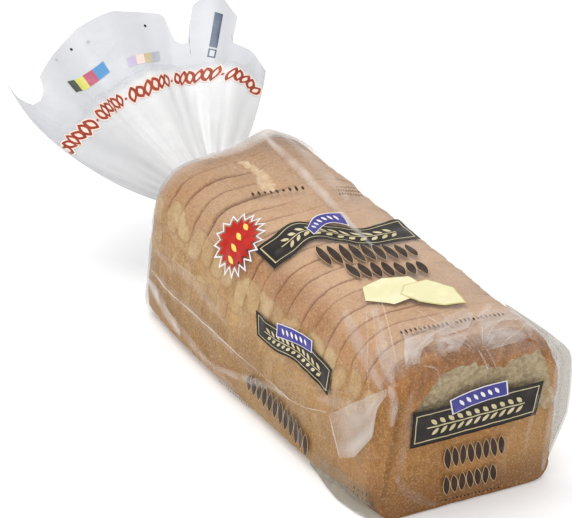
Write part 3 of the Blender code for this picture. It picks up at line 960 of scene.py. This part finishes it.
def add_slices(material):
    """The loaf, one piece for each slice."""
    ends = slice_ends()
    for index in range(SLICES):
        gap_here = REAR_GAP if index >= SLICES - REAR_GAPS else SLICE_GAP
        low, high = ends[index] + gap_here / 2, ends[index + 1] - gap_here / 2
        rows = heel_rows(high) if index == 0 else slice_rows(index, low, high, gap_here)
        points = np.stack([row[0] for row in rows])
        count, columns = points.shape[:2]
        faces = grid_faces(count, columns, closed=True)
        faces.append(tuple(range(columns))[::-1])
        faces.append(tuple(range((count - 1) * columns, count * columns)))
        draw = np.random.default_rng(TINT_SEED + index)
        size = count * columns
        values = {key: np.concatenate([row[k] for row in rows]) for k, key in enumerate(ROW_VALUES, 1)}
        values["tint"] = np.full(size, draw.uniform(0, 1))
        values["heel"] = np.full(size, float(index == 0))
        name = f"slice_{index + 1:02d}"
        mesh_piece(name, points.reshape(-1, 3), faces, material, values)


# Print on the film

CELL = 1.6
PRINT_LIFT = 0.30
LAYER_STEP = 0.09
RAIL_STEPS = 200


def cells_of(loops, step):
    """A flat shape, in mm, as small faces that can follow a curved surface."""
    rings = [[Vector((x, y, 0)) for x, y in loop] for loop in loops]
    shape = bmesh.new()
    corners = [shape.verts.new(corner) for ring in rings for corner in ring]
    for triangle in tessellate_polygon(rings):
        shape.faces.new([corners[k] for k in triangle])
    flat = np.array([corner.co[:2] for corner in corners])
    for axis in (0, 1):
        low, high = flat[:, axis].min(), flat[:, axis].max()
        way = Vector((1, 0, 0)) if axis == 0 else Vector((0, 1, 0))
        for cut in np.arange(math.ceil(low / step) * step, high, step):
            parts = shape.verts[:] + shape.edges[:] + shape.faces[:]
            bmesh.ops.bisect_plane(shape, geom=parts, plane_co=way * cut, plane_no=way)
    shape.normal_update()
    turned = [face for face in shape.faces if face.normal.z < 0]
    bmesh.ops.reverse_faces(shape, faces=turned)
    shape.verts.index_update()
    points = np.array([corner.co[:2] for corner in shape.verts])
    faces = [tuple(corner.index for corner in face.verts) for face in shape.faces]
    shape.free()
    return points, faces


def rail(line, share):
    """Points at a share of a smooth line's length, which goes on straight past its ends."""
    line = smooth_line(line, RAIL_STEPS)
    index = np.arange(RAIL_STEPS)
    at = np.clip(share, 0, 1) * index[-1]
    out = np.stack([np.interp(at, index, part) for part in line.T], 1)
    past = np.minimum(share, 0)[:, None] * (line[1] - line[0])
    past = past + np.maximum(share - 1, 0)[:, None] * (line[-1] - line[-2])
    return out + past * index[-1]


def box(x0, y0, x1, y1):
    return [(x0, y0), (x1, y0), (x1, y1), (x0, y1)]


def grain(x, y, length, width, lean=0.0, grow=0.0, full=0.8):
    """A grain's outline: pointed at both ends, leaning by an angle in degrees."""
    t = np.linspace(0, 1, 9)
    half = (width / 2 + grow) * np.sin(math.pi * t) ** full
    up = (t - 0.5) * (length + 2 * grow)
    right = np.stack([half, up], 1)
    left = np.stack([-half, up], 1)[::-1][1:-1]
    a = math.radians(lean)
    turn = np.array([[math.cos(a), math.sin(a)], [-math.sin(a), math.cos(a)]])
    return [(x + px, y + py) for px, py in np.vstack([right, left]) @ turn]


def dot(x, y, width, count):
    turns = np.linspace(0, 2 * math.pi, count, endpoint=False)
    return [(x + width / 2 * math.cos(turn), y + width / 2 * math.sin(turn)) for turn in turns]


# A design is its width and height in mm and its shapes: ink, outline, layer and perhaps a hole

def panel():
    """A dark panel with a fine frame and an ear of grain along it."""
    shapes = [
        ("dark", box(0, 0, 100, 24), 0),
        ("cream", box(2.6, 2.6, 97.4, 21.4), 1, box(3.3, 3.2, 96.7, 20.8)),
        ("cream", box(12, 10.9, 88, 11.7), 1),
    ]
    for k in range(11):
        x = 17 + 6.6 * k
        shapes.append(("cream", grain(x, 14.6, 6.4, 2.7, 52), 1))
        shapes.append(("cream", grain(x + 1.5, 8.0, 6.4, 2.7, 128), 1))
    return 100, 24, shapes


def ribbon():
    """A blue tab with a pale rim, and pale grains across it."""
    arch = [(x, 1.6 * math.sin(math.pi * x / 34)) for x in np.linspace(0, 34, 9)]
    outline = arch + [(x, 10 + y) for x, y in arch[::-1]]
    rim = [(17 + (x - 17) * 1.05, 5.8 + (y - 5.8) * 1.14) for x, y in outline]
    shapes = [("pale", rim, 2), ("blue", outline, 3)]
    for x in np.arange(6) * 4.4 + 6:
        y = 5.2 + 1.4 * math.sin(math.pi * x / 34)
        shapes.append(("pale", grain(x, y, 5.6, 2.0, 24), 4))
    return 34, 11.6, shapes


def husks(width, height, count, lean=14):
    """A row of leaning husks, each with a fine pale edge."""
    pitch = width / count
    shapes = []
    for k in range(count):
        middle = pitch * (k + 0.5), height / 2
        form = height * (1.0, 0.94, 0.97)[k % 3], pitch * 0.80, lean + 4 * math.sin(2.3 * k)
        shapes.append(("edge", grain(*middle, *form, 0.45, 0.75), 0))
        shapes.append(("brown", grain(*middle, *form, 0, 0.75), 1))
    return width, height, shapes


def marks(width, height, count, rows=1, ink="brown"):
    """Rows of small plain marks."""
    shapes = []
    for row in range(rows):
        for k in range(count):
            x, y = width * (k + 0.5) / count, height * (row + 0.5) / rows
            long = height / rows * (0.62, 0.74, 0.5)[(k + row) % 3]
            shapes.append((ink, grain(x, y, long, width / count * 0.42, 12), 0))
    return width, height, shapes


def patches(width, height, *inks):
    """A row of plain colour patches."""
    wide = width / len(inks)
    shapes = [(ink, box(wide * k, 0, wide * (k + 1), height), 0) for k, ink in enumerate(inks)]
    return width, height, shapes


SPIKES = 18


def star(inner, outer):
    """A burst outline in a square of 44, drawn out at its upper and lower ends."""
    outline = []
    for k in range(2 * SPIKES):
        turn = math.pi * k / SPIKES
        reach = outer if k % 2 == 0 else inner
        outline.append((22 + reach * math.cos(turn), 22 + 1.08 * reach * math.sin(turn)))
    return outline


PANEL = panel()
RIBBON = ribbon()
BURST = 44, 44, [
    ("pale", star(16.6, 22.6), 0, star(15.2, 20.2)),
    ("red", star(13.2, 17.6), 1),
    *(("gold", grain(22, 9.5 + 8 * k, 8, 3.4, 62), 2) for k in range(4)),
]
BUTTER = 53, 42, [
    ("butter", ((-4, 22), (2, 36), (18, 42), (33, 38), (37, 23), (26, 15), (8, 11)), 0),
    ("butter_edge", ((17, 20), (25, 30), (41, 31.5), (50.5, 18), (47, -1), (34, 1), (22, 8)), 1),
    ("butter", ((18, 20.3), (25.6, 29.2), (40.6, 30.6), (49.5, 17.8), (46.4, 0), (34.4, 2.1),
                (22.7, 8.8)), 2),
]
SLATE = 34, 5, [
    ("slate", box(0, 0, 26.5, 5), 0),
    ("slate", box(27.8, 0, 34, 5), 0, box(28.7, 0.9, 33.1, 4.1)),
]
SPOTS = 100, 50, [
    (ink, dot(x, y, 2.0, 12), 0)
    for x, y, ink in ((17.7, 36.4, "dark"), (73.8, 42.3, "dark"), (29.6, 38.1, "mist"), (2, 28.8, "mist"))
]
BAND = ((-87, 57), (-80.1, 64), (-68.3, 69.4), (-59.1, 73.5), (-46.9, 80.8), (-34.3, 87), (-23.2, 88.6),
        (-13.9, 89.2), (-2.9, 91), (11.4, 93.2), (21.4, 92.3), (33, 88.8), (44.1, 83.6), (52.5, 78.8),
        (57.4, 72.5), (57.6, 65.7))
BAND_HALF_HEIGHT = 5.2


BAND_PITCH = 4.9
BAND_GROUP = 7


def band():
    """The red band round the tail, placed: groups of outlined lozenges with dots between."""
    line = smooth_line(BAND, 60)
    upper, lower = (line + away * beside(line) for away in (BAND_HALF_HEIGHT, -BAND_HALF_HEIGHT))
    length = float(run_of(line)[-1])
    middle = BAND_HALF_HEIGHT
    shapes = []
    for k in range(int(length / BAND_PITCH)):
        x = BAND_PITCH * (k + 0.5)
        if k % BAND_GROUP == BAND_GROUP - 1:
            shapes.append(("coral", dot(x, middle - 0.6, 1.6, 10), 1))
            continue
        lean = 30 if k % 2 else 8
        tall = 11.2 if k % 3 else 10.0
        inner = grain(x, middle, tall - 4.6, 2.6, lean, 0, 1.0)
        shapes.append(("blush", grain(x, middle, tall, 5.8, lean, 0.9, 0.8), 0))
        shapes.append(("coral", grain(x, middle, tall, 5.8, lean, 0, 0.9), 1, inner))
    return (length, 2 * BAND_HALF_HEIGHT, shapes), on_near_panel, upper, lower


PRINTED = (
    # design, surface, and the upper and the lower line that it lies between, in mm
    (PANEL, on_film,
     ((-52.9, 29.1), (-38.3, 29.5), (-21.2, 35.3), (-6.1, 23.3), (9.3, 11.8), (22.3, 11.2), (41.7, 16)),
     ((-53.6, 4.8), (-38.4, 4.9), (-20.6, 11.4), (-6.1, 1.1), (3.1, -7.7), (20.1, -10.9), (42, -9))),
    (RIBBON, on_film, ((-18, 25.5), (-6, 33.5), (10, 32)), ((-18, 16.5), (-4, 22.5), (6, 17))),
    (husks(62, 20, 9), on_film,
     ((-25.7, 4.1), (-9.6, -0.4), (4.4, -5.4), (16.3, -12.4), (30.1, -17.7)),
     ((-32.9, -16.5), (-20.6, -22.3), (-6.4, -26.6), (8.1, -30.7), (25.1, -32.2))),
    (husks(50, 17, 7), on_film,
     ((-20.7, -19.7), (-8.7, -25.1), (2.4, -30.1), (12.7, -34.6), (26, -37.3)),
     ((-26.2, -38.2), (-15.9, -42.7), (-4, -46.6), (6, -50.1), (18.3, -53.1))),
    (BUTTER, on_film, ((-28, -44), (0, -46), (25, -49)), ((-28, -84), (0, -88), (25, -91))),
    (marks(68, 6.4, 24), on_film,
     ((-32.9, -98.5), (-1.1, -104.2), (34.2, -106.9)), ((-35.5, -105.2), (-3.5, -111), (32.2, -113))),
    (marks(40, 8, 9), on_film,
     ((-25.4, 79.1), (-7.8, 75.7), (8, 69.4)), ((-28.8, 71.7), (-11, 68.1), (4.5, 61.2))),
    (marks(18, 13, 9, 3), on_film, ((21.9, 57.3), (38, 60)), ((17.4, 45.7), (35, 44))),
    (BURST, on_film, ((-40.8, 68.8), (-32.5, 34.9)), ((-79.1, 62.7), (-70.6, 19.5))),
    (PANEL, on_film,
     ((-81, 6.6), (-81.3, -5.9), (-79.9, -17.7), (-77.1, -36.3), (-75.3, -53.5), (-77.4, -76.9)),
     ((-94, -0.5), (-93.3, -21.8), (-89.7, -37.7), (-90.3, -58.2), (-93.1, -78.5))),
    (RIBBON, on_film, ((-77.0, -16.9), (-71.3, -50.6)), ((-84.6, -20), (-77.6, -54))),
    (husks(74, 13, 12), on_film,
     ((-119.6, 1), (-119.8, -18.6), (-121.3, -43.6), (-128.3, -67)),
     ((-132.4, 6), (-133.2, -13.6), (-136.8, -37.9), (-141.6, -66))),
    (marks(36, 3, 14, 1, "moss"), on_film,
     ((-142.6, 36.5), (-142.6, 17.5), (-142, 0)), ((-146, 36.5), (-146, 17.5), (-145.4, 0))),
    (marks(18, 7, 5, 2, "moss"), on_film, ((-134, -112), (-133, -128)), ((-141, -110), (-142, -130))),
    (PANEL, on_front, ((-43.4, 70.3), (46.6, 70.5)), ((-42.8, 46.7), (43.6, 48.0))),
    (RIBBON, on_front, ((-18.5, 74.5), (19, 78)), ((-15.5, 63.9), (21, 67.6))),
    (husks(43, 15, 8, 10), on_front, ((-18.8, 41.6), (23.7, 40.6)), ((-18.8, 26.1), (23.9, 26.5))),
    (husks(38, 13, 7, 10), on_front, ((-17.7, 21.9), (20.3, 22.0)), ((-17.7, 8.3), (20.3, 9.3))),
    (marks(42, 2.2, 16), on_front, ((-18.6, 6.8), (23.7, 5.4)), ((-18.6, 4.6), (23.7, 3.2))),
    band(),
    (patches(34, 9, "moss", "lemon", "rose", "sky"), on_far_panel,
     ((-59.2, 110.6), (-26.4, 122.5)), ((-56.2, 102.1), (-25, 114))),
    (patches(28, 7, "lilac", "blush", "cream", "mist"), on_far_panel,
     ((-12, 119.2), (16.1, 123.2)), ((-13.2, 112.8), (13.5, 115.9))),
    (SLATE, on_far_panel, ((58.5, 136.5), (40.6, 107.4)), ((63.1, 133.5), (44.5, 104.4))),
    (SPOTS, on_far_panel, ((-60, 150), (40, 150)), ((-60, 100), (40, 100))),
)


def print_sheets():
    """Everything printed on the bag, gathered by ink."""
    inks = {}
    for (width, height, shapes), surface, upper, lower in PRINTED:
        for ink, outline, layer, *hole in shapes:
            flat, faces = cells_of([outline, *hole], CELL)
            share = flat[:, 0] / width
            low, high = rail(lower, share), rail(upper, share)
            spots = (low + (high - low) * (flat[:, 1:] / height)) * MM
            points = surface(*spots.T, (PRINT_LIFT + LAYER_STEP * layer) * MM)
            inks.setdefault(ink, Sheets()).add_faces(points, faces)
    return inks


# Materials

class Nodes:
    """Short names for building a node tree."""

    def __init__(self, name):
        self.material = bpy.data.materials.new(name)
        self.material.use_nodes = True
        self.tree = self.material.node_tree
        self.shader = self.tree.nodes["Principled BSDF"]

    def new(self, kind, **settings):
        node = self.tree.nodes.new(kind)
        for key, value in settings.items():
            setattr(node, key, value)
        return node

    def put(self, socket, value):
        if isinstance(value, bpy.types.NodeSocket):
            self.tree.links.new(value, socket)
        else:
            socket.default_value = value

    def feed(self, node, **sockets):
        """Sets or links inputs, named with _ for a space, and returns the node."""
        for key, value in sockets.items():
            self.put(node.inputs[key.replace("_", " ")], value)
        return node

    def value_of(self, name):
        return self.new("ShaderNodeAttribute", attribute_name=name).outputs["Fac"]

    def math(self, operation, a, b=0.0, clamp=False):
        node = self.new("ShaderNodeMath", operation=operation, use_clamp=clamp)
        self.put(node.inputs[0], a)
        self.put(node.inputs[1], b)
        return node.outputs[0]

    def times(self, a, b):
        return self.math("MULTIPLY", a, b)

    def minus(self, a, b):
        return self.math("SUBTRACT", a, b)

    def mix(self, share, a, b):
        """Two colours mixed, each a socket or three numbers from 0 to 255."""
        node = self.new("ShaderNodeMix", data_type="RGBA")
        self.put(node.inputs[0], share)
        for place, colour in ((6, a), (7, b)):
            self.put(node.inputs[place], srgb(*colour) if isinstance(colour, tuple) else colour)
        return node.outputs[2]

    def layers(self, colour, *rows):
        """A colour with others over it: each up to a share, as a value goes from low to high."""
        for value, low, high, share, over in rows:
            colour = self.mix(self.span(value, low, high, 0.0, share), colour, over)
        return colour

    def place(self, scale):
        where = self.new("ShaderNodeTexCoord").outputs["Object"]
        return self.feed(self.new("ShaderNodeMapping"), Vector=where, Scale=scale).outputs[0]

    def noise(self, scale, detail=3.0, rough=0.55, stretch=(1, 1, 1)):
        node = self.new("ShaderNodeTexNoise")
        self.feed(node, Vector=self.place(stretch), Scale=scale, Detail=detail, Roughness=rough)
        return node.outputs["Fac"]

    def cells(self, scale, stretch=(1, 1, 1)):
        node = self.new("ShaderNodeTexVoronoi", feature="F1")
        return self.feed(node, Vector=self.place(stretch), Scale=scale).outputs["Distance"]

    def span(self, value, low, high, to_low=0.0, to_high=1.0):
        node = self.new("ShaderNodeMapRange", clamp=True, interpolation_type="SMOOTHSTEP")
        self.feed(node, Value=value, From_Min=low, From_Max=high, To_Min=to_low, To_Max=to_high)
        return node.outputs[0]

    def stir(self, value, noise, amount):
        """A value moved up and down by a noise."""
        return self.math("ADD", value, self.times(self.minus(noise, 0.5), amount))

    def bump(self, height, strength, distance):
        node = self.feed(self.new("ShaderNodeBump"), Height=height, Strength=strength, Distance=distance)
        self.feed(self.shader, Normal=node.outputs[0])

    def surface(self, **sockets):
        self.feed(self.shader, **sockets)
        return self.material


def bread_material():
    """Crust and crumb. Rows of colours hold a value, its span, the share and the colour."""
    n = Nodes("bread_crust")
    where = n.new("ShaderNodeTexCoord").outputs["Object"]
    x, y, z = n.feed(n.new("ShaderNodeSeparateXYZ"), Vector=where).outputs
    broad = n.noise(24, 3)
    fine = n.noise(260, 4)
    streak = n.noise(60, 3, 0.6, (1.6, 1.6, 0.35))
    patch = n.noise(38, 3, 0.5, (1, 0.8, 1.3))
    speck_and_glint = n.noise(700, 3, 0.6)
    pores = n.cells(480)
    # side walls: tan, with upright streaks and soft patches
    side = n.layers(
        (172, 134, 84),
        (streak, 0.35, 0.68, 1.0, (192, 156, 106)),
        (n.cells(52, (1, 1.2, 0.8)), 0.25, 0.75, 0.35, (158, 116, 68)),
        (broad, 0.40, 0.66, 0.5, (198, 162, 112)),
        (n.noise(13, 3), 0.44, 0.62, 0.5, (170, 122, 78)),
        (patch, 0.46, 0.50, 0.24, (146, 108, 66)),
        (patch, 0.52, 0.57, 0.50, (204, 176, 132)),
        (z, 0.050, 0.076, 0.45, (150, 108, 62)),
        (n.stir(z, broad, 0.03), 0.060, 0.034, 0.72, (144, 108, 62)),
        (y, -0.075, -0.105, 0.6, (164, 116, 62)),
    )
    # crown: brown at the shoulders, paler above, with painted shade towards the rear and in the cuts
    # between slices
    crown = n.layers(
        (194, 155, 119),
        (broad, 0.35, 0.65, 1.0, (204, 167, 132)),
        (fine, 0.45, 0.7, 0.25, (212, 178, 144)),
    )
    shoulder = n.layers((150, 104, 66), (broad, 0.35, 0.65, 1.0, (170, 124, 84)))
    low = n.times(n.span(n.stir(z, broad, 0.010), 0.1045, 0.0885), n.span(y, 0.085, 0.025, 0.35, 0.85))
    # painted shade: the crown darker towards the rear
    crown = n.layers(n.mix(low, crown, shoulder), (y, 0.03, 0.12, 0.60, (162, 122, 84)))
    # painted shade in the cuts between slices
    cut = n.times(n.span(n.value_of("cut"), 0.02, 0.7), n.span(y, 0.02, 0.08, 0.42, 0.54))
    crown = n.mix(cut, crown, (132, 88, 56))
    colour = n.layers(side, (n.stir(z, broad, 0.006), 0.0775, 0.0825, 1.0, crown))
    colour = n.mix(n.times(n.value_of("tint"), 0.16), colour, (150, 108, 68))
    # pale lobes of the torn band, and the pucker in the crown
    lobe = n.value_of("torn")
    outline = n.times(n.span(lobe, 0.03, 0.20), n.span(lobe, 0.60, 0.30, 0.0, 0.50))
    torn = n.times(lobe, n.span(n.noise(70, 4), 0.30, 0.60, 0.50, 1.0))
    pale = n.layers((176, 147, 106), (streak, 0.3, 0.7, 1.0, (198, 172, 130)))
    colour = n.mix(torn, n.mix(outline, colour, (138, 98, 58)), pale)
    pucker = n.layers((200, 168, 130), (fine, 0.4, 0.65, 1.0, (216, 190, 156)))
    colour = n.layers(colour, (n.stir(n.value_of("pucker"), fine, 0.3), 0.22, 0.62, 1.0, pucker))
    # heel's face: golden, browner towards the crown, with painted shade in its crease
    gold = n.layers(
        (140, 94, 42),
        (fine, 0.35, 0.7, 1.0, (164, 116, 58)),
        (broad, 0.4, 0.7, 0.5, (178, 126, 60)),
        (n.stir(x, broad, 0.02), 0.012, 0.050, 0.65, (172, 134, 88)),
        (n.stir(z, broad, 0.02), 0.034, 0.004, 0.75, (112, 70, 28)),
    )
    # painted shade along the heel's crease
    lean = n.times(n.minus(z, CREASE_FOOT[1]), CREASE_LEAN)
    bend = n.stir(n.math("ABSOLUTE", n.minus(n.minus(x, CREASE_FOOT[0]), lean)), broad, 0.002)
    crease_shade = n.times(n.span(bend, 0.0026, 0.0004), n.span(z, 0.086, 0.076, 0.0, 0.40))
    upper = n.layers((130, 80, 36), (streak, 0.4, 0.65, 1.0, (162, 108, 54)))
    gold = n.layers(n.mix(crease_shade, gold, (98, 62, 30)), (n.stir(z, broad, 0.01), 0.074, 0.086, 1.0, upper))
    front = n.times(n.value_of("heel"), n.span(y, FRONT_Y + 0.024, FRONT_Y + 0.010))
    # specks: the dark ones are crust texture, the pale ones partly crust texture and partly painted glints
    colour = n.layers(
        n.mix(front, colour, gold),
        (speck_and_glint, 0.52, 0.66, 0.24, (226, 192, 144)),
        (speck_and_glint, 0.48, 0.34, 0.20, (96, 60, 32)),
    )
    # crumb, with painted shade in its pores
    crumb = n.layers(
        (144, 126, 94),
        (n.noise(300, 4, 0.7), 0.38, 0.62, 1.0, (180, 162, 128)),
        (pores, 0.36, 0.10, 0.55, (118, 100, 74)),
        (n.noise(60, 2), 0.45, 0.65, 0.35, (186, 168, 134)),
    )
    open_share = n.span(n.stir(n.value_of("crumb"), n.noise(150, 5, 0.65), 1.0), 0.30, 0.62)
    relief = n.times(pores, n.times(open_share, 0.45))
    n.bump(n.math("ADD", n.times(fine, 0.6), relief), 0.5, 0.0012)
    colour = n.mix(open_share, colour, crumb)
    return n.surface(Base_Color=colour, Roughness=0.62, IOR=1.4, Specular_IOR_Level=0.35)


def film_material(name, clear, white, roughness, index):
    """Clear film that is hazier and whiter where the mesh says so, from real haze and from painted sheen
    and highlights, and a little at its rims.
    """
    n = Nodes(name)
    facing = n.feed(n.new("ShaderNodeLayerWeight"), Blend=0.22).outputs["Facing"]
    alpha = n.math("ADD", n.value_of("haze"), n.times(facing, 0.07), clamp=True)
    height = n.math("ADD", n.times(n.noise(55, 5, 0.6), 0.8), n.times(n.cells(75), 0.5))
    n.bump(height, 0.35, 0.0025)
    colour = n.mix(n.value_of("milk"), clear, white)
    return n.surface(Base_Color=colour, Roughness=roughness, IOR=index, Alpha=alpha)


INKS = {
    "dark": ((30, 25, 21), (44, 37, 32)),
    "cream": ((196, 182, 140), (214, 202, 166)),
    "pale": ((232, 228, 232), (216, 210, 216)),
    "blue": ((62, 58, 132), (78, 74, 148)),
    "brown": ((46, 28, 18), (64, 42, 28)),
    "edge": ((196, 164, 126), (212, 186, 150)),
    "red": ((172, 30, 22), (190, 44, 32)),
    "gold": ((232, 204, 90), (240, 216, 120)),
    "butter": ((226, 220, 174), (234, 228, 188)),
    "butter_edge": ((204, 192, 132), (212, 202, 146)),
    "coral": ((150, 60, 42), (168, 80, 60)),
    "blush": ((250, 226, 214), (246, 214, 202)),
    "moss": ((58, 70, 60), (74, 86, 74)),
    "lemon": ((222, 218, 112), (232, 226, 136)),
    "rose": ((194, 104, 126), (206, 122, 142)),
    "sky": ((94, 152, 204), (114, 168, 212)),
    "lilac": ((200, 188, 216), (210, 200, 222)),
    "mist": ((176, 178, 188), (190, 192, 200)),
    "slate": ((104, 114, 132), (120, 130, 146)),
}


def ink_material(name, plain, worn):
    n = Nodes("ink_" + name)
    colour = n.layers(plain, (n.noise(120, 4), 0.40, 0.72, 1.0, worn))
    n.bump(n.noise(55, 5, 0.6), 0.25, 0.002)
    return n.surface(Base_Color=colour, Roughness=0.22, IOR=1.3)


def tie_material():
    n = Nodes("tie_paper")
    colour = n.layers((214, 216, 214), (n.noise(300, 3), 0.35, 0.65, 1.0, (236, 236, 232)))
    n.bump(n.noise(900, 3), 0.3, 0.0004)
    return n.surface(Base_Color=colour, Roughness=0.45)


# Setting

FLOOR_SIZE = 6
FLOOR_HEIGHT = -0.0004
STUDIO_STRENGTH = 0.78
LIT_PLACE = (0, 0, 0.05)
LAMPS = (
    # name, place, size in m and power in W
    ("key", (-0.35, 0.45, 1.9), 1.5, 20),
    ("fill", (-1.5, -1.2, 0.8), 0.9, 5),
)


def add_stage():
    bpy.ops.mesh.primitive_plane_add(size=FLOOR_SIZE, location=(0, 0, FLOOR_HEIGHT))
    floor = bpy.context.object
    floor.name = "floor"
    n = Nodes("floor")
    n.surface(Base_Color=srgb(248, 248, 248), Roughness=0.9,
              Emission_Color=(1, 1, 1, 1), Emission_Strength=0.14)
    floor.data.materials.append(n.material)


def add_light():
    world = bpy.data.worlds.new("studio")
    world.use_nodes = True
    background = world.node_tree.nodes["Background"]
    background.inputs["Color"].default_value = (1, 1, 1, 1)
    background.inputs["Strength"].default_value = STUDIO_STRENGTH
    bpy.context.scene.world = world
    for name, place, size, power in LAMPS:
        light = bpy.data.lights.new(name, "AREA")
        light.shape = "SQUARE"
        light.size = size
        light.energy = power
        lamp = bpy.data.objects.new(name, light)
        lamp.location = place
        away = Vector(place) - Vector(LIT_PLACE)
        lamp.rotation_euler = away.to_track_quat("Z", "Y").to_euler()
        bpy.context.scene.collection.objects.link(lamp)


def add_camera():
    a, e, r = CAMERA_AZIMUTH, CAMERA_ELEVATION, CAMERA_ROLL
    back = Vector((math.sin(a) * math.cos(e), -math.cos(a) * math.cos(e), math.sin(e)))
    across = (-back).cross(Vector((0, 0, 1))).normalized()
    up = across.cross(-back)
    level = math.cos(r) * across + math.sin(r) * up
    upright = math.cos(r) * up - math.sin(r) * across
    data = bpy.data.cameras.new("camera")
    data.lens = CAMERA_LENS
    data.sensor_width = SENSOR_WIDTH
    data.sensor_fit = "HORIZONTAL"
    data.clip_end = 20
    camera = bpy.data.objects.new("camera", data)
    turn = Matrix((level, upright, back)).transposed().to_4x4()
    camera.matrix_world = Matrix.Translation(CAMERA_PLACE) @ turn
    bpy.context.scene.collection.objects.link(camera)
    bpy.context.scene.camera = camera


def finish_tie():
    """The wire tie keeps its CAD shape and takes a paper surface."""
    paper = tie_material()
    for piece in bpy.data.objects:
        if piece.type == "MESH" and piece.name.startswith("neck_tie"):
            for slot in piece.material_slots:
                slot.material = paper


def main():
    bpy.context.scene.view_settings.view_transform = "Standard"
    finish_tie()
    add_camera()
    add_stage()
    add_light()
    add_slices(bread_material())
    film = film_material("bag_film", (146, 138, 120), (244, 236, 232), 0.13, 1.45)
    tail = film_material("bag_tail_film", (178, 181, 188), (227, 227, 227), 0.30, 1.5)
    body = film_body().piece("bag_body", film, "bag_film")
    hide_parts("bread_bag")
    film_folds().piece("bag_folds", film, "bag_film")
    film_tail().piece("bag_tail", tail, "bag_film")
    for ink, sheets in print_sheets().items():
        sheets.piece("print_" + ink, ink_material(ink, *INKS[ink]), "bag_print")


main()
